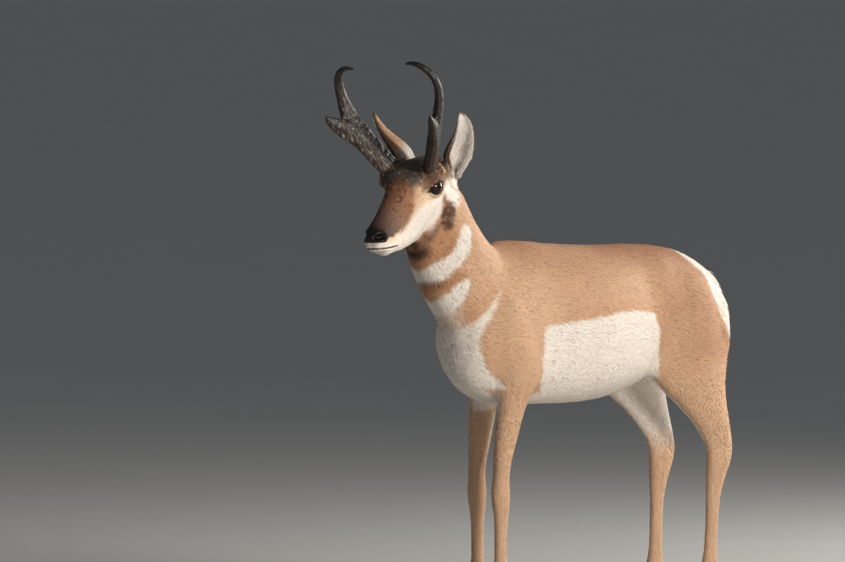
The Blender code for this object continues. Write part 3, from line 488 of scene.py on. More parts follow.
def regions(points):
    """How much each place belongs to each region; the shares add up to one."""
    body = points + TO_BODY
    head = in_half_head(points)
    on_head = ramp(side_of(body, HEAD_CUT), -0.012, 0.022)
    on_neck = ramp(side_of(body, NECK_CUT), -0.05, 0.05) * (1.0 - on_head)
    low = fall(body[:, 2], 0.50, 0.60)
    shank = fall(body[:, 2], 0.33, 0.42)
    rest = 1.0 - on_head - on_neck
    rump = ramp(body[:, 0], 0.54, 0.61) * ramp(body[:, 2], 0.60, 0.68)
    tail = ramp(body[:, 0], 0.622, 0.632) * ramp(0.034 - abs(body[:, 1]), -0.003, 0.003)
    tail *= ramp(body[:, 2], 0.64, 0.66)
    muzzle = ramp(head[:, 0], 0.13, 0.175)
    crown = fall(head[:, 0], -0.02, 0.035) * ramp(head[:, 2], 0.0, 0.03)
    from_horn = oval(head, HORN_ROOT, HORN_HAIR)
    brow = fall(from_horn, 0.75, 1.15) * (1.0 - muzzle)
    crown = crown * (1.0 - brow)
    back_cheek = fall(head[:, 0], -0.01, 0.045) * (1.0 - crown - brow).clip(0.0, 1.0) * 0.55
    face = np.clip(1.0 - muzzle - crown - back_cheek - brow, 0.0, 1.0)
    return {
        "muzzle": on_head * muzzle,
        "crown": on_head * (crown + back_cheek),
        "brow": on_head * brow,
        "face": on_head * face,
        "neck": on_neck,
        "shank": rest * shank,
        "thigh": rest * (low - shank).clip(0.0, 1.0),
        "tail": rest * (1.0 - low) * tail,
        "rump": rest * (1.0 - low) * rump * (1.0 - tail),
        "trunk": rest * (1.0 - low) * (1.0 - rump) * (1.0 - tail),
    }


def coat_sizes(points):
    """Coat depth, hair length and tuft width at each place."""
    share = regions(points)
    total = sum(share.values())
    out = np.zeros((len(points), 3))
    for name, part in share.items():
        out += (part / total)[:, None] * np.array(COAT[name])
    out[:, 1] *= 1.0 - SHORTER_AT_EYE * round_eyes(points)[0]
    return out


# the way the hair points, before it is laid along the surface
LIE = {
    "muzzle": -FORWARD,
    "face": -FORWARD - 0.25 * CROWN,
    "crown": -FORWARD - 0.15 * CROWN,
    "neck": np.array([0.62, 0.0, -0.78]),
    "trunk": np.array([0.95, 0.0, -0.32]),
    "rump": np.array([0.35, 0.0, -0.94]),
    "tail": np.array([0.10, 0.0, -0.99]),
    "brow": -0.55 * FORWARD + 1.0 * CROWN,
    "thigh": np.array([0.25, 0.0, -0.97]),
    "shank": np.array([0.05, 0.0, -1.0]),
}


def round_eyes(points):
    """Nearness to the lids, and the way that leads straight away from the eye."""
    near = np.zeros(len(points))
    away_way = np.zeros_like(points)
    for side, _ in SIDES:
        measure, _, along, across = lid_measure(points, side)
        _, long_way, high_way, _ = eye_axes(side)
        close = fall(measure, 1.25, 2.10)
        radial = unit(along[:, None] * long_way + across[:, None] * high_way, TINY)
        away_way += close[:, None] * radial
        near = np.maximum(near, close)
    return near, away_way


def lie_of_coat(points, normals, seed):
    """The way the hair points at each place, along the surface."""
    share = regions(points)
    way = np.zeros_like(points)
    for name, part in share.items():
        way += part[:, None] * LIE[name]
    near, away_way = round_eyes(points)
    way = way * (1.0 - LESS_AT_EYE * near)[:, None] + PART_AT_EYE * away_way
    side = np.sign(in_head(points)[:, 1])
    way += (share["brow"] * side * BROW_OUTWARD)[:, None] * LEVEL_LEFT
    for axis in range(3):
        for count, (size, strength) in enumerate(WAVES):
            way[:, axis] += strength * unevenness(points, size, seed + 3 * count + axis)
    return flat_on(way, normals)


print("coat regions", sorted(COAT))

# %% [markdown]
# ## One skin
# The flesh was parted by thin cuts so that each part has its own name. Here copies of all of them
# are swollen by 0.6 mm, so that the cuts close, and wrapped in one even net of quads.
# The net is made finer on the head, finer again on muzzle and orbits, and finest at lids, lips and
# nostrils, because folds are only as sharp as the net under them.

# %% Wrap the flesh in one net
FLESH = ["head", "neck", "torso", "tail", "eye_left", "eye_right"]
FLESH += [
    f"{leg}_{side}_{part}"
    for leg in ("foreleg", "hindleg")
    for side in ("left", "right")
    for part in ("upper", "lower")
]
CUT_CLOSING = 0.0006
NET = 0.0060

skin = merged_copy(FLESH, "skin")
move_points(skin, points_of(skin) + normals_of(skin) * CUT_CLOSING)
new_net(skin, NET, 6)
print("net", len(skin.data.polygons), "quads")


def refine(thing, chosen=None):
    """Splits the chosen faces in four, or all of them."""
    alone(thing)
    if chosen is None:
        chosen = np.ones(len(thing.data.polygons), bool)
    thing.data.vertices.foreach_set("select", np.zeros(len(thing.data.vertices), bool))
    thing.data.edges.foreach_set("select", np.zeros(len(thing.data.edges), bool))
    thing.data.polygons.foreach_set("select", chosen)
    bpy.context.tool_settings.mesh_select_mode = (False, False, True)
    bpy.ops.object.mode_set(mode="EDIT")
    bpy.ops.mesh.subdivide(number_cuts=1)
    bpy.ops.object.mode_set(mode="OBJECT")


def face_middles(thing):
    """The middle of every face."""
    return read(thing.data.polygons, "center", 3)


NOSTRIL = np.array([0.199, 0.0205, -0.003])
MUZZLE_START = 0.130
# where the net is made finer: round nostrils and lips in metres, at the lids by their measure
NOSTRIL_NET = 0.0135
LIP_NET = 0.0060
ORBIT_NET = 2.3
LID_NET = (0.70, 1.50)
MOUTH_MIDDLE = (0.166, -0.0518)
MOUTH_RISE = math.radians(29.0)
MOUTH_CORNER = 0.154


def mouth_height(head):
    """Height over the plane between the lips, in the head frame."""
    forward = head[:, 0] - MOUTH_MIDDLE[0]
    up = head[:, 2] - MOUTH_MIDDLE[1]
    return up * math.cos(MOUTH_RISE) - forward * math.sin(MOUTH_RISE)


refine(skin, past_neck(face_middles(skin)) > 0.0)
place = face_middles(skin)
on_muzzle = (in_head(place)[:, 0] > MUZZLE_START) & (past_neck(place) > 0.0)
refine(skin, (nearest_lid(place) < ORBIT_NET) | on_muzzle)
relax(skin, 4, ramp(past_neck(points_of(skin)), -0.01, 0.01))
place = face_middles(skin)
head = in_head(place)
measure = nearest_lid(place)
near_lid = (measure > LID_NET[0]) & (measure < LID_NET[1])
near_lips = (abs(mouth_height(head)) < LIP_NET) & (head[:, 0] > MOUTH_CORNER - LIP_NET)
near_nostril = np.linalg.norm(in_half_head(place) - NOSTRIL, axis=1) < NOSTRIL_NET
near_split = (abs(head[:, 1]) < 0.004) & (head[:, 0] > 0.195) & (head[:, 2] < 0.004)
refine(skin, near_lid | near_lips | near_nostril | near_split)
relax(skin, 3, ramp(in_head(points_of(skin))[:, 0], 0.10, MUZZLE_START))
print("skin", len(skin.data.polygons), "faces")

# %% [markdown]
# ## Pull the skin in by the coat's depth
# The solids stand for the outside of the coat. The skin lies under them by the depth of the hair,
# nearly a centimetre on the rump and less than a millimetre on the muzzle.

# %% Coat depth
points = points_of(skin)
normals = normals_of(skin)
depth = coat_sizes(points)[:, 0] + CUT_CLOSING
move_points(skin, points - normals * depth[:, None])
relax(skin, 2)
print("coat depth", depth.min().round(4), "to", depth.max().round(4))

# %% [markdown]
# ## Lids, nostrils, lips and folds
# These are pressed into the net, as a sculptor would: the lids stand a little off the eyeball and
# turn in at their edge, the nostrils are slanting hollows with a raised wing, the lips part on a
# fine groove, and small folds run above the eye and round the corner of the mouth.

# %% Model the face
LID_THICK = 0.0016
LID_SWELL = 0.0010
LID_TURN_IN = 0.0045
LID_FOLD = 0.0011
for side, _ in SIDES:
    points = points_of(skin)
    measure, away, along, across = lid_measure(points, side)
    distance = np.linalg.norm(away, axis=1)
    lid = EYE_RADIUS + LID_THICK + LID_SWELL * ramp(measure, 1.0, 1.25)
    inner = EYE_RADIUS - LID_TURN_IN
    target = inner + (lid - inner) * ramp(measure, 0.86, 0.99)
    hold = fall(measure, 1.15, 1.85)
    reach = np.where(measure < NO_LID, distance + (target - distance) * hold, distance)
    upper = ramp(across, -0.1, 0.3)
    folds = hump(measure, 1.42, 0.09) * (0.35 + 0.65 * upper) + 0.6 * hump(measure, 1.75, 0.10)
    reach = reach - LID_FOLD * folds * (measure < NO_LID)
    move_points(skin, points + unit(away, TINY) * (reach - distance)[:, None])

NOSTRIL_DEPTH = 0.0095
NOSTRIL_WING = 0.0014
NOSTRIL_SLANT = unit(np.array([0.62, 0.42, -0.66]))
NOSTRIL_HALF = (0.0088, 0.0046)
NOSTRIL_CURL = 22.0
NOSTRIL_REACH = 0.02
points = points_of(skin)
normals = normals_of(skin)
head = in_head(points)
push = np.zeros(len(points))
for side, _ in SIDES:
    offset = head * np.array([1.0, side, 1.0]) - NOSTRIL
    length_way = offset @ NOSTRIL_SLANT
    other = offset - length_way[:, None] * NOSTRIL_SLANT
    curl = other[:, 2] + 0.5 * other[:, 1] - NOSTRIL_CURL * length_way**2
    form = np.hypot(length_way / NOSTRIL_HALF[0], curl / NOSTRIL_HALF[1])
    near = (np.linalg.norm(offset, axis=1) < NOSTRIL_REACH) & (head[:, 1] * side > 0.003)
    push -= np.where(near, NOSTRIL_DEPTH * fall(form, 0.35, 1.05), 0.0)
    push += np.where(near, NOSTRIL_WING * hump(form, 1.45, 0.35), 0.0)

# depth and width of the lips' groove, height, place and width of their swell, and the split
LIP_GROOVE = (0.0038, 0.0013)
LIP_SWELL = (0.0016, 0.0044, 0.0026)
LIP_SPLIT = (0.0016, 0.0011)
CHEEK_FOLD = 0.0010
lips = mouth_height(head)
corner = ramp(head[:, 0], MOUTH_CORNER - 0.006, MOUTH_CORNER + 0.012)
front = corner * (past_neck(points) > 0.0)
push -= LIP_GROOVE[0] * hump(lips, 0.0, LIP_GROOVE[1]) * front
push += LIP_SWELL[0] * hump(abs(lips), LIP_SWELL[1], LIP_SWELL[2]) * front
split = hump(head[:, 1], 0.0, LIP_SPLIT[1]) * ramp(head[:, 0], 0.196, 0.203)
push -= LIP_SPLIT[0] * split * fall(head[:, 2], -0.004, 0.004) * ramp(lips, 0.0, 0.002)
fold_at = 0.136 + 0.30 * (head[:, 2] + 0.055)
push -= CHEEK_FOLD * hump(head[:, 0], fold_at, 0.0030) * hump(head[:, 2], -0.058, 0.012)
push[past_neck(points) < 0.0] = 0.0
move_points(skin, points + normals * push[:, None])
print("face modelled, deepest press", push.min().round(4))

# %% [markdown]
# ## An unwrap of the skin
# Every tuft will carry a tiny patch of this map, taken where the tuft is rooted, so that baked
# colours stay in order. The unwrap follows the skin's own shape and looks from no camera.

# %% Unwrap
unwrap(skin, 0.002)
print("unwrapped", len(skin.data.loops), "corners")

# %% [markdown]
# ## The markings
# A pronghorn is tan above and white below, with a square white flank, a white rump, two white
# bands across the throat and a third along the front of the shoulder. The buck's muzzle and the
# crown between the horns are dark, and so is a patch below each ear. All edges are given by a few
# named lines in the body and head frames, and both sides of the animal use the same lines.

# %% Palette
TAN = srgb(203, 160, 127)
BACK = srgb(170, 124, 95)
SAND = srgb(216, 178, 145)
WHITE = srgb(238, 228, 217)
CREAM = srgb(234, 204, 172)
EAR_WHITE = srgb(250, 243, 234)
RUST = srgb(172, 118, 80)
ORANGE = srgb(181, 128, 94)
UMBER = srgb(72, 48, 36)
MUZZLE_DARK = srgb(88, 64, 53)
CROWN_BLACK = srgb(94, 86, 82)
NOSE_BLACK = srgb(22, 18, 17)
LID_BLACK = srgb(24, 19, 17)

# %% Lines of the markings
# flank patch: its top edge, front edge and rear edge, along and up
FLANK_TOP = ((0.066, 0.688), (0.110, 0.692), (0.170, 0.698), (0.235, 0.707), (0.305, 0.718),
             (0.375, 0.712), (0.410, 0.700))
FLANK_FRONT = ((0.500, 0.120), (0.530, 0.095), (0.560, 0.070), (0.611, 0.062), (0.690, 0.069))
FLANK_REAR = ((0.500, 0.450), (0.560, 0.420), (0.597, 0.412), (0.636, 0.406), (0.680, 0.399),
              (0.712, 0.384))
# rump patch: how far back its edge is, by height
RUMP_EDGE = ((0.620, 0.650), (0.667, 0.611), (0.701, 0.584), (0.741, 0.565), (0.781, 0.562),
             (0.804, 0.551), (0.823, 0.532), (0.845, 0.520))
# chest and shoulder: front of the shoulder by height, and the top of the white by place along
SHOULDER_EDGE = ((0.500, -0.010), (0.550, -0.027), (0.582, -0.052), (0.596, -0.071),
                 (0.626, -0.087), (0.661, -0.094), (0.683, -0.084), (0.710, -0.069),
                 (0.739, -0.055), (0.770, -0.038))
CHEST_TOP = ((-0.140, 0.660), (-0.127, 0.674), (-0.117, 0.683), (-0.098, 0.699),
             (-0.075, 0.724), (-0.055, 0.750), (-0.040, 0.772))
# throat bands: angle round the neck from the throat, then the lower and upper edge along it
UPPER_BAND = ((0.0, 0.199, 0.232), (20.0, 0.199, 0.241), (31.0, 0.198, 0.240),
              (42.0, 0.203, 0.241), (56.0, 0.209, 0.249), (74.0, 0.219, 0.268),
              (88.0, 0.229, 0.277), (100.0, 0.243, 0.275), (109.0, 0.258, 0.262))
LOWER_BAND = ((0.0, 0.107, 0.146), (16.0, 0.114, 0.155), (29.0, 0.120, 0.165),
              (38.0, 0.130, 0.170), (46.0, 0.144, 0.171), (54.0, 0.160, 0.164))
# face: along the head from the eyes, the angle from the top of the head at which one colour ends
DARK_SIDE = ((0.045, 6.0), (0.100, 10.0), (0.112, 30.0), (0.122, 70.0), (0.130, 84.0),
             (0.147, 86.0), (0.170, 76.0), (0.195, 70.0), (0.215, 64.0))
ORANGE_SIDE = ((0.020, 30.0), (0.046, 34.0), (0.067, 46.0), (0.087, 64.0), (0.104, 84.0),
               (0.123, 97.0), (0.140, 99.0))
CREAM_SIDE = ((-0.02, 88.0), (0.010, 91.0), (0.044, 84.0), (0.069, 78.0), (0.087, 87.0),
              (0.103, 103.0), (0.128, 101.0))
CHEEK_REAR = ((94.0, -0.013), (112.0, -0.006), (124.0, 0.006), (135.0, 0.023), (148.0, 0.042),
              (159.0, 0.059), (180.0, 0.076))
BROW_SIDE = ((-0.020, 82.0), (0.012, 78.0), (0.040, 54.0))
BLACK_FRONT = ((0.0, 0.020), (11.0, 0.036), (26.0, 0.047), (36.0, 0.040), (43.0, 0.020),
               (50.0, 0.000))


def line(table, where, column=1):
    """Reads one of the tables above at any place."""
    table = np.array(table)
    return np.interp(where, table[:, 0], table[:, column])


def spot(points, middle, radii, soft=0.35):
    """1 inside an oval spot, 0 outside."""
    return fall(oval(points, middle, radii), 1.0 - soft, 1.0 + soft)


# %% Colour of the coat at any place
EDGE = 0.0045
BAND_EDGE = 0.0040
SHOULDER_SPOT = ((0.030, 0.0, 0.690), (0.095, 1.0, 0.125), 0.5)
FLANK_FLECKS = ((0.098, 0.630), (0.094, 0.608), (0.104, 0.566))
# dark hair and painted shadow under the jaw, and a weaker spot of both lower down the neck
THROAT_SHADOW_AND_HAIR = ((-0.236, -0.012, 0.868), (0.042, 0.036, 0.026))
LOW_THROAT_SHADOW_AND_HAIR = ((-0.185, -0.020, 0.790), (0.026, 0.030, 0.012))
# below the ear, in the head frame: middle, the way across and the way along
EAR_PATCH = np.array([-0.002, 0.066, -0.088])
PATCH_ACROSS = np.array([0.80, 0.0, 0.60]) / 0.018
PATCH_ALONG = np.array([0.60, 0.0, -0.80]) / 0.034
BEHIND_EYE = ((-0.042, 0.068, -0.048), (0.026, 0.030, 0.036))


def markings(points, normals):
    """The coat's colour at each place, from where it is and which way it faces."""
    body = points + TO_BODY
    shift = 0.0035 * unevenness(points, 0.020, 11) + 0.0022 * unevenness(points, 0.007, 12)
    x = body[:, 0] + shift
    y = abs(body[:, 1])
    z = body[:, 2] + 0.0030 * unevenness(points, 0.016, 13) + 0.002 * unevenness(points, 0.006, 14)
    on_head = beyond(side_of(body, HEAD_CUT), 0.004)
    off_head = 1.0 - on_head

    # tan with painted shade on the back's top, darker on the haunch, paler below and on the shoulder
    colour = np.tile(TAN, (len(points), 1))
    # painted shade: the top of the back is darker, as where the light grazes it
    lay(colour, BACK, 0.90 * ramp(z, 0.77, 0.870) * ramp(x, 0.00, 0.06))
    lay(colour, BACK, 0.42 * ramp(x, 0.34, 0.47) * ramp(z, 0.50, 0.62))
    lay(colour, BACK, 0.35 * lumps(points, 0.09, 15))
    lay(colour, SAND, 0.40 * lumps(points, 0.11, 16))
    lay(colour, SAND, 0.65 * fall(z, 0.52, 0.64) * off_head)
    shoulder = spot(body * np.array([1.0, 0.0, 1.0]), *SHOULDER_SPOT)
    shoulder = np.maximum(shoulder, 0.75 * fall(x, -0.07, 0.02) * ramp(z, 0.74, 0.80))
    lay(colour, SAND, 0.60 * shoulder * off_head)

    # white flank and belly, rump and chest
    flank = beyond(line(FLANK_TOP, x) - z, EDGE) * beyond(x - line(FLANK_FRONT, z), EDGE)
    flank *= beyond(line(FLANK_REAR, z) - x, EDGE)
    belly = fall(z, 0.530, 0.560) * beyond(0.070 - y, 0.012) * ramp(z, 0.485, 0.500)
    belly *= ramp(x, -0.06, 0.0) * fall(x, 0.46, 0.52)
    lay(colour, WHITE, np.maximum(flank, belly))
    for along, up in FLANK_FLECKS:
        away = np.hypot(body[:, 0] - along, body[:, 2] - up)
        lay(colour, RUST, 0.45 * fall(away + shift, 0.002, 0.007))
    rump = beyond(x - line(RUMP_EDGE, z), EDGE) * ramp(z, 0.615, 0.640)
    lay(colour, WHITE, rump * beyond(0.128 - y, 0.008))
    chest = beyond(line(SHOULDER_EDGE, z) - x, EDGE)
    chest *= beyond(line(CHEST_TOP, x) - z, EDGE) * ramp(z, 0.44, 0.47)
    chest *= 1.0 - ramp(y, 0.040, 0.050) * beyond(0.548 - z, 0.006)
    lay(colour, WHITE, chest)

    # legs: pale insides and shins, and dark round the hoof
    inward = -np.sign(body[:, 1]) * normals[:, 1]
    fore = beyond(0.545 - z, 0.02) * (x < 0.16) * ramp(z, 0.34, 0.42)
    inside = ramp(inward, 0.05, 0.45) * ramp(normals[:, 0], -0.30, 0.20)
    lay(colour, CREAM, 0.9 * fore * inside)
    hind = beyond(0.600 - z, 0.03) * (x > 0.34) * ramp(z, 0.36, 0.46)
    inside = ramp(inward + 0.25 * np.clip(-normals[:, 0], 0.0, 1.0), 0.05, 0.40)
    lay(colour, WHITE, 0.95 * hind * inside)
    lay(colour, SAND, 0.35 * fall(body[:, 2], 0.12, 0.30) * (y < 0.2))
    lay(colour, UMBER, 0.55 * fall(body[:, 2], 0.045, 0.075))

    # neck: dark nape, rust between the bands, the white bands, and the dark throat, which is partly
    # dark hair and partly painted shadow under the jaw
    along = (body - NECK_ROOT) @ NECK_ALONG + shift
    front = (body - NECK_ROOT) @ NECK_FRONT
    aside = abs(body[:, 1] + 0.010 * ramp(along, 0.10, 0.30))
    angle = np.degrees(np.arctan2(aside, front)) + 220.0 * shift
    nape = ramp(angle, 166.0, 178.0) * ramp(along, 0.10, 0.20)
    lay(colour, BACK, 0.6 * nape * off_head)
    rusty = ramp(along, 0.205, 0.250) * fall(angle, 48.0, 88.0)
    lay(colour, RUST, 0.70 * rusty * off_head)
    rusty = hump(along, 0.182, 0.022) * fall(angle, 38.0, 62.0)
    lay(colour, RUST, 0.75 * rusty * off_head * ramp(along, 0.085, 0.105))
    rusty = hump(along, 0.085, 0.022) * fall(angle, 30.0, 60.0)
    lay(colour, RUST, 0.55 * rusty * off_head)
    strip = fall(angle, 12.0, 36.0) * ramp(along, 0.010, 0.035) * fall(along, 0.112, 0.140)
    lay(colour, WHITE, 0.60 * strip * off_head)
    for band in (UPPER_BAND, LOWER_BAND):
        inside = beyond(along - line(band, angle, 1), BAND_EDGE)
        inside *= beyond(line(band, angle, 2) - along, BAND_EDGE)
        lay(colour, WHITE, inside * ramp(band[-1][0] - angle, -2.0, 3.0) * off_head)
    # the throat is darkened by dark hair and by painted shadow under the jaw
    throat = spot(body, *THROAT_SHADOW_AND_HAIR) + 0.45 * spot(body, *LOW_THROAT_SHADOW_AND_HAIR)
    lay(colour, UMBER * 0.6, 0.92 * np.clip(throat, 0.0, 1.0) * (angle < 60.0))

    # head, then what runs over its edge: white behind the eye, and the dark patch under the ear
    head = in_half_head(points)
    lay(colour, face_colour(points, head), on_head)
    lay(colour, WHITE, 0.95 * fall(oval(head, *BEHIND_EYE), 0.75, 1.15))
    away = np.hypot((head - EAR_PATCH) @ PATCH_ACROSS, (head - EAR_PATCH) @ PATCH_ALONG)
    patch = fall(0.20 * unevenness(points, 0.008, 18) + away, 0.80, 1.10)
    patch *= (1.0 - 0.5 * lumps(points, 0.006, 17, 1.6)) * ramp(head[:, 1], 0.035, 0.048)
    lay(colour, UMBER, 0.92 * patch)
    run = np.clip((head[:, 2] + 0.065) / 0.026, 0.0, 1.0)
    thin = hump(head[:, 0], -0.008 - 0.013 * run, 0.0022)
    thin *= ramp(head[:, 2], -0.070, -0.062) * fall(head[:, 2], -0.040, -0.034)
    lay(colour, UMBER, 0.75 * thin * (head[:, 1] > 0.045))
    return np.clip(colour, 0.0, 1.0)


# top of the head: colour by place forward, from the crown to the nose
FACE_TOP = (
    (-0.020, (66, 50, 42)),
    (0.012, (82, 60, 47)),
    (0.032, (104, 74, 56)),
    (0.048, (140, 94, 68)),
    (0.068, (158, 106, 76)),
    (0.090, (150, 104, 79)),
    (0.118, (140, 101, 78)),
    (0.145, (112, 86, 72)),
    (0.185, (66, 51, 44)),
)


# two dark crescents between eyes and nose: place forward, radius and width
WHORLS = ((0.072, 0.0110, 0.0024), (0.090, 0.0075, 0.0020))


def head_angle(head):
    """Angle round the head from its top, in degrees."""
    return np.degrees(np.arctan2(abs(head[:, 1]), head[:, 2] + 0.03))


def face_colour(points, head):
    """The colours of the head, from its own frame."""
    wobble = 0.0030 * unevenness(points, 0.012, 21) + 0.0016 * unevenness(points, 0.004, 22)
    f = head[:, 0] + wobble
    plain = head_angle(head) + 900.0 * wobble
    angle = plain + 7.0 * unevenness(points, 0.019, 27) + 4.0 * unevenness(points, 0.007, 28)
    mouth = mouth_height(head)
    under_mouth = fall(mouth, 0.0125, 0.0155)

    # cream and white cheeks, and the orange and dark top with mixed hairs
    keys = np.array([key for key, _ in FACE_TOP])
    tones = np.array([srgb(*tone) for _, tone in FACE_TOP])
    top = np.stack([np.interp(f, keys, tones[:, axis]) for axis in range(3)], axis=1)
    colour = np.tile(CREAM, (len(points), 1))
    lay(colour, WHITE, ramp(angle - line(CREAM_SIDE, f), -14.0, 10.0))
    tan_cheek = ramp(line(ORANGE_SIDE, f) + 22.0 - angle, -16.0, 12.0) * (f > -0.03)
    lay(colour, SAND, 0.75 * tan_cheek * fall(f, 0.11, 0.14))
    orange = ramp(line(ORANGE_SIDE, f) + 3.0 - angle, -16.0, 11.0) * fall(f, 0.120, 0.150)
    dark = ramp(line(DARK_SIDE, f) - angle, -9.0, 6.0) * ramp(f, 0.080, 0.125)
    dark = dark * (1.0 - ramp(f, 0.183, 0.190) * under_mouth)
    covered = np.maximum(orange, dark)
    lay(colour, top, covered)
    brow = fall(f, 0.018, 0.062) * fall(angle, 40.0, 70.0)
    lay(colour, UMBER, 0.80 * lumps(points, 0.0055, 23, 1.8, -0.2) * brow)
    lay(colour, CREAM, 0.55 * lumps(points, 0.005, 25, 1.8, -0.7) * brow)
    lay(colour, UMBER, 0.58 * lumps(points, 0.0045, 29, 1.9, -0.35) * covered)
    pale = lumps(points, 0.0050, 30, 1.9, -0.6)
    lay(colour, SAND, 0.40 * pale * covered * fall(f, 0.08, 0.12))
    for middle, radius, width in WHORLS:
        away = np.hypot(head[:, 0] - middle, (abs(head[:, 1]) - 0.018) * 1.2)
        ring = hump(away, radius, width) * ramp(head[:, 2], -0.030, -0.015)
        lay(colour, UMBER, 0.85 * ring * ramp(unevenness(points, 0.006, 26), -0.3, 0.2))

    # the cheek's rear edge, the jaw's underside darkened by dark hair and painted shadow, the rim
    # over the eye and the black between the horns
    rear = line(CHEEK_REAR, plain)
    lay(colour, RUST, 0.9 * beyond(rear - f, 0.004) * ramp(plain, 88.0, 100.0))
    # dark hair and painted shadow on the jaw's underside
    under = ramp(plain, 132.0, 152.0) * beyond(rear - 0.003 - f, 0.005)
    lay(colour, UMBER * 0.8, 0.80 * under)
    rusty_brow = fall(f, 0.016, 0.042) * beyond(line(BROW_SIDE, f) - angle, 8.0)
    lay(colour, RUST * 0.6, 0.85 * rusty_brow)
    ridge = fall(f, 0.010, 0.040) * hump(angle, 46.0, 15.0) * ramp(f, -0.05, -0.02)
    lay(colour, UMBER, 0.80 * ridge)
    black = ramp(line(BLACK_FRONT, angle) - f, -0.012, 0.010) * ramp(40.0 - angle, -10.0, 8.0)
    black *= ramp(f, -0.105, -0.085)
    lay(colour, CROWN_BLACK, 0.92 * black)
    pale = lumps(points, 0.005, 24, 2.0, -0.7)
    lay(colour, CREAM, 0.45 * pale * black * ramp(f, -0.04, 0.01))
    behind_horn = np.hypot((f + 0.052) / 0.012, (abs(head[:, 1]) - 0.052) / 0.008)
    lay(colour, CREAM, 0.8 * fall(behind_horn, 0.7, 1.3) * (head[:, 2] > 0.0))

    # round each eye: pale below, painted shade above, under the brow, black rim, and black in
    # both corners
    for side, _ in SIDES:
        measure, _, along, across = lid_measure(points, side)
        lay(colour, CREAM, 0.85 * fall(measure, 1.40, 1.85) * fall(across, -0.1, 0.55))
        # painted shade over the upper lid, under the brow
        lay(colour, UMBER, 0.75 * fall(measure, 1.25, 1.75) * ramp(across, 0.1, 0.6))
        lay(colour, LID_BLACK, fall(measure, 1.14, 1.30))
        tear = np.hypot(along - 1.25, across + 0.25)
        lay(colour, LID_BLACK, 0.8 * fall(tear, 0.12, 0.34))
        corner = np.hypot((along + 1.45) / 2.2, across - 0.05 + 0.12 * (along + 1.2))
        lay(colour, LID_BLACK, fall(corner, 0.10, 0.22) * (measure < NO_LID))

    # white under the mouth, black nose and lips, and a shade of grey on the chin
    lay(colour, WHITE, 0.95 * ramp(f, 0.168, 0.180) * under_mouth)
    nose = np.maximum(ramp(f, 0.176, 0.189) * beyond(70.0 - angle, 8.0), ramp(f, 0.197, 0.204))
    lay(colour, NOSE_BLACK, nose * ramp(mouth, 0.0130, 0.0160))
    groove = fall(abs(mouth), 0.0014, 0.0027) * ramp(head[:, 0], MOUTH_CORNER - 0.006, MOUTH_CORNER)
    lay(colour, NOSE_BLACK, 0.95 * groove)
    chin = ramp(head[:, 0], 0.188, 0.200) * fall(mouth, -0.004, -0.001)
    lay(colour, MUZZLE_DARK, 0.20 * chin)
    return colour


def bare(points):
    """1 where no hair grows: the nose, the lips' groove and the lids."""
    head = in_head(points)
    mouth = mouth_height(head)
    nose = ramp(head[:, 0], 0.184, 0.190) * beyond(66.0 - head_angle(head), 6.0)
    nose = np.maximum(nose, ramp(head[:, 0], 0.1985, 0.203)) * ramp(mouth, 0.0135, 0.0155)
    groove = fall(abs(mouth), 0.0010, 0.0020)
    out = np.maximum(nose, groove * ramp(head[:, 0], MOUTH_CORNER, MOUTH_CORNER + 0.005))
    out = np.maximum(out, fall(nearest_lid(points), 1.12, 1.20))
    return out * (past_neck(points) > 0.0)


def wet_places(points):
    """1 on the nose, the lips' edge and the lids' edge, which are smooth and damp."""
    head = in_head(points)
    mouth = mouth_height(head)
    nose = ramp(head[:, 0], 0.186, 0.196) * ramp(mouth, 0.013, 0.016)
    lips = fall(abs(mouth), 0.0014, 0.0024) * (head[:, 0] > MOUTH_CORNER)
    return np.maximum(np.maximum(nose, lips), fall(nearest_lid(points), 1.06, 1.18))


skin_points = points_of(skin)
paint(skin, markings(skin_points, normals_of(skin)), "coat")
wet = skin.data.attributes.new("wet", "FLOAT", "POINT")
wet.data.foreach_set("value", wet_places(skin_points).astype(np.float32))
print("skin painted")

# %% [markdown]
# ## Materials
# Coat and skin read the painted colour and vary it with fine noise. Horn, hoof and eye have their
# own surfaces, and the skin is smoother where it is damp. A shared group makes small random
# mottling, so that every painted finish can use it.

# %% Shared mottling group
def new_node(tree, kind, values=None, **settings):
    """A new node, with its settings and some of its inputs set."""
    node = tree.nodes.new(kind)
    for name, value in settings.items():
        setattr(node, name, value)
    for name, value in (values or {}).items():
        node.inputs[name].default_value = value
    return node


def join(tree, *rows):
    """Links nodes: from one node's output to another's input, row by row."""
    for start, outlet, end, inlet in rows:
        tree.links.new(start.outputs[outlet], end.inputs[inlet])


MOTTLE_SOCKETS = (
    ("Vector", "INPUT", "NodeSocketVector"),
    ("Size", "INPUT", "NodeSocketFloat"),
    ("Colour", "INPUT", "NodeSocketColor"),
    ("Strength", "INPUT", "NodeSocketFloat"),
    ("Colour", "OUTPUT", "NodeSocketColor"),
    ("Height", "OUTPUT", "NodeSocketFloat"),
)


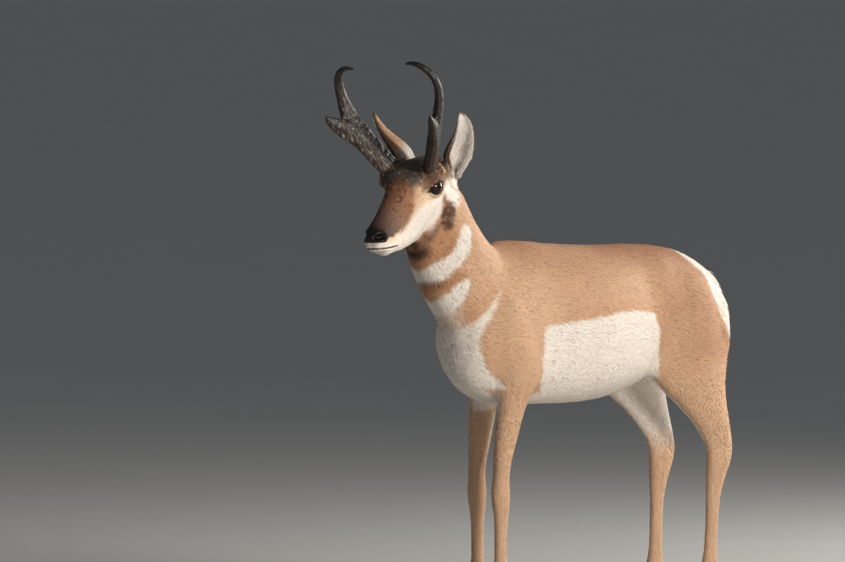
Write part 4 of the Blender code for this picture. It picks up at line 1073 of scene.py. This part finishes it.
def mottle_group():
    """Noise at one size, put out as a mottled colour and as a height."""
    group = bpy.data.node_groups.new("mottle", "ShaderNodeTree")
    for name, way, kind in MOTTLE_SOCKETS:
        group.interface.new_socket(name, in_out=way, socket_type=kind)
    entry = new_node(group, "NodeGroupInput")
    leave = new_node(group, "NodeGroupOutput")
    noise = new_node(group, "ShaderNodeTexNoise", {"Detail": 4.0})
    spread = new_node(group, "ShaderNodeMapRange", {"From Min": 0.3, "From Max": 0.7})
    low = new_node(group, "ShaderNodeMath", {0: 1.0}, operation="SUBTRACT")
    high = new_node(group, "ShaderNodeMath", {0: 1.0}, operation="ADD")
    scale = new_node(group, "ShaderNodeVectorMath", operation="SCALE")
    join(
        group,
        (entry, "Vector", noise, "Vector"),
        (entry, "Size", noise, "Scale"),
        (entry, "Strength", low, 1),
        (entry, "Strength", high, 1),
        (noise, "Fac", spread, "Value"),
        (low, 0, spread, "To Min"),
        (high, 0, spread, "To Max"),
        (entry, "Colour", scale, 0),
        (spread, "Result", scale, "Scale"),
        (scale, "Vector", leave, "Colour"),
        (noise, "Fac", leave, "Height"),
    )
    return group


MOTTLE = mottle_group()
BUMP_DISTANCE = 0.001


def new_material(name, roughness, specular):
    """A Principled material, its node tree and its shader."""
    material = bpy.data.materials.new(name)
    material.use_nodes = True
    shader = material.node_tree.nodes["Principled BSDF"]
    shader.inputs["Roughness"].default_value = roughness
    shader.inputs["Specular IOR Level"].default_value = specular
    return material, material.node_tree, shader


def painted_material(
    name, attribute, roughness, specular, size, strength, bump, stretch=(1.0, 1.0, 1.0)
):
    """A finish over a painted colour, with mottling and a fine bump."""
    material, tree, shader = new_material(name, roughness, specular)
    painted = new_node(tree, "ShaderNodeAttribute", attribute_name=attribute)
    place = new_node(tree, "ShaderNodeTexCoord")
    mapping = new_node(tree, "ShaderNodeMapping", {"Scale": stretch})
    values = {"Size": size, "Strength": strength}
    mottle = new_node(tree, "ShaderNodeGroup", values, node_tree=MOTTLE)
    lift = new_node(tree, "ShaderNodeBump", {"Strength": bump, "Distance": BUMP_DISTANCE})
    join(
        tree,
        (place, "Object", mapping, "Vector"),
        (mapping, "Vector", mottle, "Vector"),
        (painted, "Color", mottle, "Colour"),
        (mottle, "Colour", shader, "Base Color"),
        (mottle, "Height", lift, "Height"),
        (lift, "Normal", shader, "Normal"),
    )
    return material


# %% Finishes
SKIN_ROUGHNESS = 0.72
DAMP_ROUGHNESS = 0.30
skin_finish = painted_material(
    "skin_under_coat", "coat", SKIN_ROUGHNESS, specular=0.25, size=260.0, strength=0.22, bump=0.9
)
tree = skin_finish.node_tree
damp = new_node(tree, "ShaderNodeAttribute", attribute_name="wet")
gloss = new_node(tree, "ShaderNodeMapRange", {"To Min": SKIN_ROUGHNESS, "To Max": DAMP_ROUGHNESS})
join(
    tree,
    (damp, "Fac", gloss, "Value"),
    (gloss, "Result", tree.nodes["Principled BSDF"], "Roughness"),
)
coat_finish = painted_material(
    "coat_hair", "coat", roughness=0.62, specular=0.28, size=420.0, strength=0.16, bump=0.0
)
horn_finish = painted_material(
    "horn_sheath", "horn", roughness=0.46, specular=0.42, size=150.0, strength=0.45, bump=0.8
)
hoof_finish = painted_material(
    "hoof_wall", "hoof", roughness=0.42, specular=0.40, size=120.0, strength=0.30, bump=0.5,
    stretch=(0.4, 0.4, 4.0),
)
skin.data.materials.append(skin_finish)

floor_finish, tree, shader = new_material("pale_floor", roughness=0.85, specular=0.2)
grain = new_node(tree, "ShaderNodeTexNoise", {"Scale": 3.0})
tone = new_node(tree, "ShaderNodeValToRGB")
tone.color_ramp.elements[0].color = (0.60, 0.59, 0.57, 1.0)
tone.color_ramp.elements[1].color = (0.63, 0.62, 0.60, 1.0)
place = new_node(tree, "ShaderNodeTexCoord")
join(
    tree,
    (place, "Object", grain, "Vector"),
    (grain, "Fac", tone, "Fac"),
    (tone, "Color", shader, "Base Color"),
)
floor.data.materials.append(floor_finish)
print("materials", [m.name for m in bpy.data.materials if m.users])

# %% [markdown]
# ## Ears
# The thin ear shells of the solids are refined and their root is pushed down into the head, where
# hair covers the join. The inside is pale, and the rim and tip are dark.

# %% Ear shells
EAR_ROOT = (-0.080, 0.057, -0.024)
EAR_REACH = (0.061, 0.066, 0.141)
EAR_FACING = math.radians(48.0)
EAR_BOW = (0.0200, 0.0033)
EAR_BOW_RISE = 1.8
# one ear is this much longer and the other this much shorter
EAR_UNEVEN = 0.030
EAR_SINK = 0.008
EAR_SINK_WAY = (0.8, 0.6)
ears = {}


def ear_line(side):
    """Root, tip and the axes of an ear: along it, where it opens, and across the opening."""
    root = head_point(EAR_ROOT[0], side * EAR_ROOT[1], EAR_ROOT[2])
    out, ahead, rise = EAR_REACH
    reach = LEVEL_LEFT * (side * out) + LEVEL_FORWARD * ahead
    reach = reach + UPRIGHT * (rise * (1.0 + side * EAR_UNEVEN))
    axis = unit(reach)
    facing = LEVEL_FORWARD * math.cos(EAR_FACING) + LEVEL_LEFT * (side * math.sin(EAR_FACING))
    facing = unit(facing - axis * np.dot(facing, axis))
    return root, reach, axis, facing, np.cross(axis, facing) * -side


def on_ear(points, normals, side):
    """Share of the way up, nearness to the front margin, and 1 on the hollow side."""
    root, reach, axis, _, frontward = ear_line(side)
    up = (points - root) @ axis / np.linalg.norm(reach)
    bow = np.sin(math.pi * np.clip(up, 0.0, 1.0) ** EAR_BOW_RISE)
    shift = LEVEL_LEFT * (side * EAR_BOW[0]) + LEVEL_FORWARD * EAR_BOW[1]
    middle = root + up[:, None] * reach + bow[:, None] * shift
    away = points - middle
    away = away - (away @ axis)[:, None] * axis
    size = np.linalg.norm(away, axis=1) + TINY
    hollow = fall(np.sum(normals * away, axis=1) / size, -0.25, 0.15)
    return up, away @ frontward / size, hollow


for side, word in SIDES:
    ear = merged_copy([f"ear_{word}"], f"ear_shell_{word}")
    refine(ear)
    relax(ear, 1)
    refine(ear)
    relax(ear, 2)
    axis = ear_line(side)[2]
    points = points_of(ear)
    up = on_ear(points, normals_of(ear), side)[0]
    inward = -axis * EAR_SINK_WAY[0] - LEVEL_LEFT * (EAR_SINK_WAY[1] * side)
    points = points + inward * (EAR_SINK * fall(up, 0.0, 0.20))[:, None]
    move_points(ear, points)
    ears[word] = ear
print("ears", {word: len(ear.data.polygons) for word, ear in ears.items()})


# %% Ear colours
def ear_colour(points, normals, side):
    """Tan behind, pale inside, with a dark front margin and tip and a white root."""
    up, front, hollow = on_ear(points, normals, side)
    tint = np.tile(TAN, (len(points), 1))
    lay(tint, SAND, 0.5 * ramp(unevenness(points, 0.015, 31), -0.5, 0.8))
    lay(tint, WHITE, fall(up, 0.26, 0.46))
    lay(tint, EAR_WHITE, hollow)
    lay(tint, CREAM, 0.15 * hollow * ramp(unevenness(points, 0.018, 32), -0.2, 0.8))
    low_front = ramp(front, 0.45, 0.85) * fall(up, 0.20, 0.62) * ramp(up, 0.02, 0.14) * hollow
    lay(tint, RUST, 0.75 * low_front)
    margin = ramp(front, 0.80, 0.95) * ramp(up, 0.10, 0.25) * (1.0 - 0.30 * hollow)
    lay(tint, UMBER, 0.92 * margin)
    lay(tint, UMBER, 0.9 * ramp(up, 0.90, 0.98))
    return tint


for side, word in SIDES:
    ear = ears[word]
    paint(ear, ear_colour(points_of(ear), normals_of(ear), side), "coat")
    ear.data.materials.append(skin_finish)
    unwrap(ear, 0.004)

# %% [markdown]
# ## Horns
# A pronghorn's horn is a sheath of fused hair over a bony core. It is rough and knobbly near its
# base, with a grain that runs up it, and smooth and black toward the hooked tip. The solid is
# wrapped in a fine net, its root is pushed into the crown, and the grain is pressed into the net.

# %% Horn sheaths
# the net, how far the root goes in, the height of a slice and how far the sheath swells
HORN_NET = 0.0016
HORN_SINK = 0.012
HORN_SLICE = 0.006
HORN_WEB = 0.0050
HORN_GRAIN = 0.00075
HORN_KNOBS = 0.0022
HORN_SINK_WAY = (0.45, 0.9)
# the grain runs up the horn, so its noise is drawn out in height; the knobs less so
GRAIN_DRAW = np.array([1.0, 1.0, 0.16])
KNOB_DRAW = np.array([1.0, 1.0, 0.6])
HORN_WEAR = {"left": 0.10, "right": 0.92}
HORN_SHADE = {"left": 0.60, "right": 0.95}
HORN_DARK = srgb(44, 36, 32)
HORN_BROWN = srgb(74, 56, 46)
HORN_GREY = srgb(112, 100, 90)
HORN_FLECK = srgb(182, 172, 158)
for side, word in SIDES:
    horn = merged_copy([f"horn_{word}"], f"horn_sheath_{word}")
    new_net(horn, HORN_NET, 8)
    # swollen and drawn in again, so that the fork between shaft and prong fills a little
    move_points(horn, points_of(horn) + normals_of(horn) * HORN_WEB)
    new_net(horn, HORN_NET, 8)
    move_points(horn, points_of(horn) - normals_of(horn) * HORN_WEB)
    new_net(horn, HORN_NET, 4)
    points = points_of(horn)
    normals = normals_of(horn)
    head = in_head(points)
    rise = head[:, 2] - HORN_ROOT[2]
    rough = fall(rise, 0.10, 0.22)
    stretched = head * GRAIN_DRAW
    grain_field = unevenness(stretched, 0.0032, 41) + 0.6 * unevenness(stretched, 0.0016, 42)
    knobs = lumps(head * KNOB_DRAW, 0.009, 43)
    inner = fall(side * (normals @ LEVEL_LEFT), -0.50, 0.10)
    # 0 at the rear of each slice and 1 at its front, so that the prong's hollow side is found for
    # the painted shadow in it
    forward_share = np.zeros(len(points))
    for low in np.arange(rise.min(), rise.max(), HORN_SLICE):
        band = (rise >= low) & (rise < low + HORN_SLICE)
        if band.any():
            ahead = head[band, 0]
            forward_share[band] = (ahead - ahead.min()) / (np.ptp(ahead) + 1e-6)
    lift = HORN_GRAIN * grain_field * (0.30 + 0.70 * rough)
    lift += HORN_KNOBS * knobs * rough * (0.35 + 0.65 * inner)
    root_part = fall(rise, -0.004, 0.024)
    points = points + normals * (lift * (1.0 - root_part))[:, None]
    inward = -CROWN * HORN_SINK_WAY[0] - LEVEL_LEFT * (HORN_SINK_WAY[1] * side)
    points = points + inward * (HORN_SINK * root_part)[:, None]
    move_points(horn, points)
    tint = np.tile(HORN_DARK, (len(points), 1))
    lay(tint, HORN_BROWN, 0.6 * fall(rise, 0.04, 0.15))
    worn = ramp(grain_field, -0.2, 1.2) * (0.20 + 0.80 * rough)
    lay(tint, HORN_GREY, HORN_WEAR[word] * worn * (0.30 + 0.70 * inner))
    flecks = lumps(stretched, 0.0024, 44, 2.2, -0.8)
    lay(tint, HORN_FLECK, HORN_WEAR[word] * flecks * rough * inner)
    tint = tint * HORN_SHADE[word]
    # painted shadow: the hollow behind the prong, on each horn's inner side, is painted near black
    hollow = inner * ramp(0.54 - forward_share, -0.06, 0.06) * fall(rise, 0.12, 0.15)
    lay(tint, HORN_DARK * 0.35, 0.92 * hollow)
    paint(horn, tint, "horn")
    horn.data.materials.append(horn_finish)
    smooth(horn)
    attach(horn, "root")
    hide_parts(f"horn_{word}")
    print(horn.name, len(horn.data.polygons), "faces")

# %% [markdown]
# ## Eyes
# The eyeballs are large and nearly black, with a dark brown iris, a long level pupil and a wet
# front. They keep the size of the solids and sit a few millimetres from their place, where the
# lids lie round them as in the photograph.

# %% Eyeballs
eye_finish, tree, shader = new_material("eye_wet", roughness=0.035, specular=0.30)
eye_paint = new_node(tree, "ShaderNodeAttribute", attribute_name="iris")
join(tree, (eye_paint, "Color", shader, "Base Color"))
EYE_BLACK = srgb(20, 13, 10)
IRIS_BROWN = srgb(44, 27, 17)
PUPIL_BLACK = srgb(4, 3, 3)
CORNEA_BULGE = 0.035
PUPIL_HALF = (0.0082, 0.0045)
for side, word in SIDES:
    middle, long_way, high_way, look = eye_axes(side)
    bpy.ops.mesh.primitive_uv_sphere_add(segments=96, ring_count=64, radius=EYE_RADIUS)
    ball = bpy.context.object
    ball.name = f"eyeball_{word}"
    points = points_of(ball) @ np.array([high_way, np.cross(look, high_way), look])
    out = points @ look / EYE_RADIUS
    points = points * (1.0 + CORNEA_BULGE * ramp(out, 0.62, 1.0))[:, None]
    along = points @ long_way
    high = points @ high_way
    around = np.arctan2(high, along)
    away = np.sqrt(along**2 + high**2)
    tint = np.tile(EYE_BLACK, (len(points), 1))
    iris = fall(away, 0.0120, 0.0135) * (out > 0)
    streaks = 0.5 + 0.5 * np.sin(around * 31.0 + 3.0 * np.sin(around * 7.0))
    lay(tint, IRIS_BROWN, iris * (0.50 + 0.50 * streaks))
    pupil = fall(np.hypot(along / PUPIL_HALF[0], high / PUPIL_HALF[1]), 0.9, 1.1) * (out > 0)
    lay(tint, PUPIL_BLACK, pupil)
    paint(ball, tint, "iris")
    move_points(ball, points + middle)
    ball.data.materials.append(eye_finish)
    smooth(ball)
    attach(ball, "root")
    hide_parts(f"eye_{word}")
print("eyes", EYE_RADIUS * 2000.0, "mm across")

# %% [markdown]
# ## Hooves
# Each foot stands on two narrow black hooves. The walls carry faint growth rings and fine
# upright grain, and they are scuffed and dusty near the ground. The soles stay flat on the floor.

# %% Hooves
HOOF_BLACK = srgb(38, 34, 32)
HOOF_DUST = srgb(92, 82, 72)
HOOF_RING = srgb(70, 60, 52)
RING_HEIGHT = 0.00022
RING_RATE = 620.0
feet = [
    f"hoof_{end}_{side}_{half}"
    for end in ("fore", "hind")
    for side in ("left", "right")
    for half in ("outer", "inner")
]
for name in feet:
    hoof = merged_copy([name], name.replace("hoof_", "hoof_wall_"))
    refine(hoof)
    points = points_of(hoof)
    height = points[:, 2]
    normals = normals_of(hoof)
    ring = np.sin(height * RING_RATE + 1.6 * unevenness(points, 0.02, 51))
    walls = ramp(height, 0.003, 0.008) * fall(abs(normals[:, 2]), 0.6, 0.9)
    move_points(hoof, points + normals * (RING_HEIGHT * ring * walls)[:, None])
    tint = np.tile(HOOF_BLACK, (len(points), 1))
    lay(tint, HOOF_DUST, 0.55 * fall(height, 0.002, 0.020))
    lay(tint, HOOF_RING, 0.35 * (0.5 + 0.5 * ring))
    paint(hoof, tint, "hoof")
    hoof.data.materials.append(hoof_finish)
    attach(hoof, "root")
    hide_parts(name)
print("hooves", len(feet))

# %% [markdown]
# ## Coat
# Every tuft is a small closed lock: one root point in the skin, three points round its middle and
# one tip. Roots are strewn over the skin by area, closer together where hair is short. A tuft
# leans along the lie of the coat, rises to the coat's depth and takes the marking's colour at its
# root, middle and tip, a little lighter or darker by chance.

# %% Tuft maker
BAKE_PATCH = 0.003
LOCK_FACES = np.array([[0, 1, 3], [0, 3, 2], [0, 2, 1], [4, 3, 1], [4, 2, 3], [4, 1, 2]])
LOCK_SPREAD = np.array([[0.0, -0.5], [-0.4, 0.0], [0.4, 0.0], [0.0, 0.1], [0.0, 0.5]])
# chance in length, width and rise, and how far a lock rolls, turns and bends by chance
LOCK_LENGTH = (0.70, 1.25)
LOCK_WIDTH = (0.65, 1.30)
LOCK_RISE = (0.78, 1.04)
LOCK_ROLL, LOCK_TURN, LOCK_BEND = 0.22, 0.12, 0.07
# place of the middle along and up, thickness, and depth of the root in the skin
LOCK_MIDDLE = (0.46, 0.72)
LOCK_THICK = 0.34
LOCK_SINK = (0.0006, 0.2)
# chance in lightness; painted shade at the root, where the tufts cover it, and a lighter tip
LIGHT_CHANCE, FACE_LIGHT_CHANCE = 0.045, 0.07
ROOT_SHADE, TIP_SHADE = 0.80, 1.05
# how far the shading turns at the sides and the tip, so that a lock looks round
LOCK_ROUND = (0.45, 0.25)


def strew(thing, density, rng):
    """Random roots over a mesh: place, direction outward and place on the unwrap."""
    mesh = thing.data
    mesh.calc_loop_triangles()
    corners = read(mesh.loop_triangles, "vertices", 3, np.int64)
    loops = read(mesh.loop_triangles, "loops", 3, np.int64)
    sheet = read(mesh.uv_layers["OFBake"].data, "uv", 2)
    points = points_of(thing)
    normals = normals_of(thing)
    a, b, c = points[corners[:, 0]], points[corners[:, 1]], points[corners[:, 2]]
    area = np.linalg.norm(np.cross(b - a, c - a), axis=1) / 2
    wanted = area * density((a + b + c) / 3)
    count = np.floor(wanted + rng.random(len(wanted))).astype(np.int64)
    pick = np.repeat(np.arange(len(count)), count)
    u = rng.random(len(pick))
    v = rng.random(len(pick))
    flip = u + v > 1.0
    u[flip], v[flip] = 1.0 - u[flip], 1.0 - v[flip]
    share = np.stack([1.0 - u - v, u, v], axis=1)
    root = np.einsum("ni,nij->nj", share, points[corners[pick]])
    out = np.einsum("ni,nij->nj", share, normals[corners[pick]])
    return root, unit(out), np.einsum("ni,nij->nj", share, sheet[loops[pick]])


def build_coat(
    name, root, out, sheet, way, depth, length, width, colour, rng, slot, lean=None
):
    """One piece of coat from arrays: a closed lock at every root."""
    count = len(root)
    length = length * rng.uniform(*LOCK_LENGTH, count)
    width = width * rng.uniform(*LOCK_WIDTH, count)
    rise = depth * rng.uniform(*LOCK_RISE, count)
    aside = np.cross(out, way)
    roll = rng.normal(0.0, LOCK_ROLL, count)[:, None]
    flat = aside * np.cos(roll) + out * np.sin(roll)
    turn = rng.normal(0.0, LOCK_TURN, count)[:, None]
    way = way * np.cos(turn) + aside * np.sin(turn)
    mid = root + way * (LOCK_MIDDLE[0] * length)[:, None] + out * (LOCK_MIDDLE[1] * rise)[:, None]
    tip = root + way * length[:, None] + out * rise[:, None]
    tip = tip + aside * (rng.normal(0.0, LOCK_BEND, count) * length)[:, None]
    thick = np.cross(way, flat)
    points = np.empty((count, 5, 3))
    points[:, 0] = root - out * (LOCK_SINK[0] + LOCK_SINK[1] * depth)[:, None]
    points[:, 1] = mid - flat * (0.5 * width)[:, None]
    points[:, 2] = mid + flat * (0.5 * width)[:, None]
    lift = np.where(np.sum(thick * out, axis=1) > 0.0, 1.0, -1.0) * LOCK_THICK * width
    points[:, 3] = mid + thick * lift[:, None]
    points[:, 4] = tip
    faces = (np.arange(count)[:, None, None] * 5 + LOCK_FACES[None]).reshape(-1, 3)
    mesh = bpy.data.meshes.new(name)
    mesh.vertices.add(count * 5)
    mesh.vertices.foreach_set("co", points.ravel())
    mesh.loops.add(len(faces) * 3)
    mesh.loops.foreach_set("vertex_index", faces.ravel())
    mesh.polygons.add(len(faces))
    mesh.polygons.foreach_set("loop_start", np.arange(0, len(faces) * 3, 3))
    mesh.update(calc_edges=True)
    spread = LOCK_SPREAD[None] * BAKE_PATCH + sheet[:, None]
    layer = mesh.uv_layers.new(name="OFBake")
    layer.data.foreach_set("uv", spread.reshape(-1, 2)[faces.ravel()].ravel())
    chance = FACE_LIGHT_CHANCE if slot == "face_coat" else LIGHT_CHANCE
    light = rng.normal(1.0, chance, count)[:, None]
    tint = np.ones((count, 5, 4), np.float32)
    if colour.ndim == 2:
        colour = np.stack([colour] * 3, axis=1)
    tint[:, :, :3] = np.clip(colour * light[:, None], 0.0, 1.0)[:, [0, 1, 1, 1, 2]]
    # painted shade at each tuft's root
    tint[:, 0, :3] *= ROOT_SHADE
    tint[:, 4, :3] = np.clip(tint[:, 4, :3] * TIP_SHADE, 0.0, 1.0)
    attribute = mesh.attributes.new("coat", "FLOAT_COLOR", "POINT")
    attribute.data.foreach_set("color", tint.ravel())
    mesh.polygons.foreach_set("use_smooth", np.ones(len(faces), bool))
    shade = np.repeat((out if lean is None else out + lean)[:, None], 5, axis=1)
    shade[:, 1] -= flat * LOCK_ROUND[0]
    shade[:, 2] += flat * LOCK_ROUND[0]
    shade[:, 4] += way * LOCK_ROUND[1]
    mesh.normals_split_custom_set_from_vertices(unit(shade).reshape(-1, 3))
    mesh.materials.append(coat_finish)
    piece = bpy.data.objects.new(name, mesh)
    bpy.context.scene.collection.objects.link(piece)
    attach(piece, "root")
    print(name, count, "tufts,", len(faces), "triangles")


# %% Strew the coat over the skin
COVER = 3.4
COLOUR_PLACES = (0.0, 0.45, 0.80)
DENSITY_TOP = 430000.0
THINNER = {"shank": 0.30, "thigh": 0.22}
# where the pieces part: along the body, and forward of the eyes
FORE_END = 0.2
MUZZLE_PIECE = 0.050


def density(points):
    """Roots to a square metre, so that the tufts cover each other several times."""
    sizes = coat_sizes(points)
    cover = np.minimum(COVER / (0.5 * sizes[:, 1] * sizes[:, 2]), DENSITY_TOP)
    share = regions(points)
    for name, less in THINNER.items():
        cover = cover * (1.0 - less * share[name])
    return cover * (1.0 - bare(points))


# one source of chance for all the hair, started at a fixed number
rng = np.random.default_rng(7)
root, out, sheet = strew(skin, density, rng)
sizes = coat_sizes(root)
way = lie_of_coat(root, out, 61)
tint = np.stack(
    [markings(root + way * (part * sizes[:, 1])[:, None], out) for part in COLOUR_PLACES], axis=1
)
body = root + TO_BODY
share = regions(root)
on_head = share["muzzle"] + share["crown"] + share["face"] + share["brow"]
on_leg = share["shank"] + share["thigh"] > 0.5
fore = body[:, 0] < FORE_END
GROUPS = (
    ("coat_muzzle", (on_head > 0.5) & (in_head(root)[:, 0] > MUZZLE_PIECE), "face_coat"),
    ("coat_head", on_head > 0.5, "face_coat"),
    ("coat_tail", share["tail"] > 0.5, "tail_coat"),
    ("coat_neck", share["neck"] > 0.5, "coat"),
    ("coat_forelegs", on_leg & fore, "coat"),
    ("coat_hindleg_left", on_leg & ~fore & (body[:, 1] < 0.0), "coat"),
    ("coat_hindleg_right", on_leg & ~fore, "coat"),
)
left = np.ones(len(root), bool)
pieces = []
for name, chosen, slot in GROUPS:
    chosen = chosen & left
    left &= ~chosen
    pieces.append((name, chosen, slot))
for word, sign in (("left", -1), ("right", 1)):
    for part, test in (("front", fore), ("rear", ~fore)):
        pieces.append((f"coat_trunk_{part}_{word}", left & test & (body[:, 1] * sign >= 0), "coat"))
for name, chosen, slot in pieces:
    build_coat(
        name, root[chosen], out[chosen], sheet[chosen], way[chosen], sizes[chosen, 0],
        sizes[chosen, 1], sizes[chosen, 2], tint[chosen], rng, slot,
    )

# %% [markdown]
# ## Brows and the hair round the horns
# Over each eye and round the root of each horn the hair is long and coarse and stands up, so that
# the horn seems to grow out of a tuft. Dark, rusty and pale hairs are mixed here, hair by hair.

# %% Brow hair
BROW_ROOTS = 330000.0
BROW_RISE = 0.017
BROW_HAIR = 0.015
BROW_DEPTH = 0.004
BROW_WIDTH = 0.0013
BROW_UNRULY = 0.22
BROW_PART = 1.2
HORN_TUFT = (0.040, 0.030, 0.034)
EAR_FOOT = ((-0.070, 0.060, -0.030), (0.028, 0.020, 0.026))
BROW_SHADES = (UMBER, CROWN_BLACK, RUST, ORANGE, CREAM)
BROW_SHARES = (0.40, 0.20, 0.18, 0.10, 0.12)


def around_horn(points):
    """How near a place is to a horn's root, 1 at the root and 0 a few centimetres away."""
    away = oval(in_half_head(points), HORN_ROOT, HORN_TUFT)
    return fall(away, 0.62, 1.05) * ramp(nearest_lid(points), 1.55, 2.0)


def over_eye(points):
    """1 on the bushy rim of the orbit above an eye."""
    out = np.zeros(len(points))
    for side, _ in SIDES:
        measure, _, _, across = lid_measure(points, side)
        rim = ramp(measure, 1.40, 1.60) * fall(measure, 2.00, 2.50)
        out = np.maximum(out, rim * ramp(across, 0.35, 0.80))
    return out


def ear_foot(points):
    """1 round the foot of each ear, where long white hair hides its root."""
    return fall(oval(in_half_head(points), *EAR_FOOT), 0.70, 1.15)


def brow_density(points):
    """Roots of the coarse hair to a square metre."""
    place = np.maximum(around_horn(points), 0.75 * over_eye(points))
    place = np.maximum(place, 0.9 * ear_foot(points))
    return BROW_ROOTS * place * (1.0 - bare(points))


root, out, sheet = strew(skin, brow_density, rng)
close = around_horn(root)
orbit = over_eye(root)
way = lie_of_coat(root, out, 71)
way = way + BROW_PART * round_eyes(root)[1]
way = flat_on(way + BROW_UNRULY * rng.normal(0.0, 1.0, way.shape), out)
tint = markings(root, out)
shade = np.array(BROW_SHADES)[rng.choice(len(BROW_SHADES), len(root), p=BROW_SHARES)]
foot = ear_foot(root)
lay(shade, WHITE, foot)
tint = tint * 0.40 + shade * 0.60
build_coat(
    "coat_brow", root, out, sheet, way,
    BROW_DEPTH + (BROW_RISE - BROW_DEPTH) * np.maximum(np.maximum(close, 0.4 * orbit), 0.6 * foot),
    BROW_HAIR * (0.6 + 0.4 * close), np.full(len(root), BROW_WIDTH), tint, rng, "face_coat",
)

# %% Hair on the ears
# depth, length and width, and what the long hair inside adds to depth and length
EAR_COAT = (0.0012, 0.0075, 0.0013)
EAR_INNER_RISE = 0.0075
EAR_INNER_HAIR = 0.0110
EAR_ROOTS = 330000.0
EAR_LEAN = 1.1
EAR_UNRULY = 0.12
EAR_FADE = 0.65
for side, word in SIDES:
    ear = ears[word]
    ear_root, ear_out, ear_sheet = strew(ear, lambda points: np.full(len(points), EAR_ROOTS), rng)
    _, _, axis, facing, frontward = ear_line(side)
    up, front, hollow = on_ear(ear_root, ear_out, side)
    low = fall(up, 0.30, 0.85)
    way_up = axis + (0.25 + 0.55 * low)[:, None] * facing * hollow[:, None]
    way_up = way_up - (0.55 * front * low * hollow)[:, None] * frontward
    way_up = flat_on(way_up + EAR_UNRULY * rng.normal(0.0, 1.0, way_up.shape), ear_out)
    fade = 1.0 - EAR_FADE * ramp(up, 0.75, 1.0)
    long_hair = EAR_COAT[1] + EAR_INNER_HAIR * hollow * low
    tint_at = ear_colour(ear_root, ear_out, side)
    build_coat(
        f"coat_ear_{word}", ear_root, ear_out, ear_sheet, way_up,
        (EAR_COAT[0] + EAR_INNER_RISE * hollow * low) * fade, long_hair * fade,
        np.full(len(ear_root), EAR_COAT[2]), tint_at, rng, "ear_coat",
        (hollow * EAR_LEAN)[:, None] * facing,
    )

# %% [markdown]
# ## Lashes
# A pronghorn has long thick black lashes on the upper lid, which shade the eye. They are set along
# the lid's edge, longest over the middle and the outer corner, and point out, up and a little back.

# %% Lashes
LASHES = 34
LASH_LENGTH = 0.0135
LASH_WIDTH = 0.0010
LASH_RISE = 0.0018
# the part of the lid's edge that carries them, in degrees, and how far outside the edge they stand
LASH_ARC = (28.0, 196.0)
LASH_OFF = (0.0012, 0.0010)
LASH_UNRULY = 0.10
for side, word in SIDES:
    middle, long_way, high_way, look = eye_axes(side)
    turn = np.radians(np.linspace(*LASH_ARC, LASHES) + rng.normal(0.0, 1.5, LASHES))
    wide = (LID_HALF_LENGTH + LASH_OFF[0]) * np.cos(turn)
    high = (LID_HALF_HEIGHT + LASH_OFF[1]) * np.sin(turn) * (1.0 - LID_PINCH * np.cos(turn) ** 2)
    reach = np.sqrt((EYE_RADIUS + LID_THICK) ** 2 - wide**2 - high**2)
    lash_root = middle + wide[:, None] * long_way + high[:, None] * high_way
    lash_root = lash_root + reach[:, None] * look
    lash_out = unit(lash_root - middle)
    lash_way = look * 0.75 + high_way * 0.42 + np.cos(turn)[:, None] * 0.55 * long_way
    lash_way = unit(lash_way - 0.30 * long_way + LASH_UNRULY * rng.normal(0.0, 1.0, (LASHES, 3)))
    size = LASH_LENGTH * (0.65 + 0.45 * np.sin(np.linspace(0.2, 2.6, LASHES)))
    build_coat(
        f"lashes_{word}", lash_root, lash_out, np.full((LASHES, 2), 0.5), lash_way,
        np.full(LASHES, LASH_RISE), size, np.full(LASHES, LASH_WIDTH),
        np.tile(LID_BLACK, (LASHES, 1)), rng, "face_coat",
    )

# %% Put skin and ears in place
smooth(skin)
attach(skin, "root")
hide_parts(*[name for name in FLESH if not name.startswith("eye_")])
for word, ear in ears.items():
    smooth(ear)
    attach(ear, "root")
    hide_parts(f"ear_{word}")

# %% [markdown]
# ## Count of triangles
# The looks must stay close to the solids, which stand for them in physics. Here the triangles of
# all the looks are counted.

# %% Count the triangles
total = 0
for thing in bpy.data.objects:
    if thing.type == "MESH" and not thing.hide_render and thing.name != floor.name:
        thing.data.calc_loop_triangles()
        total += len(thing.data.loop_triangles)
print("triangles in all the looks", total)
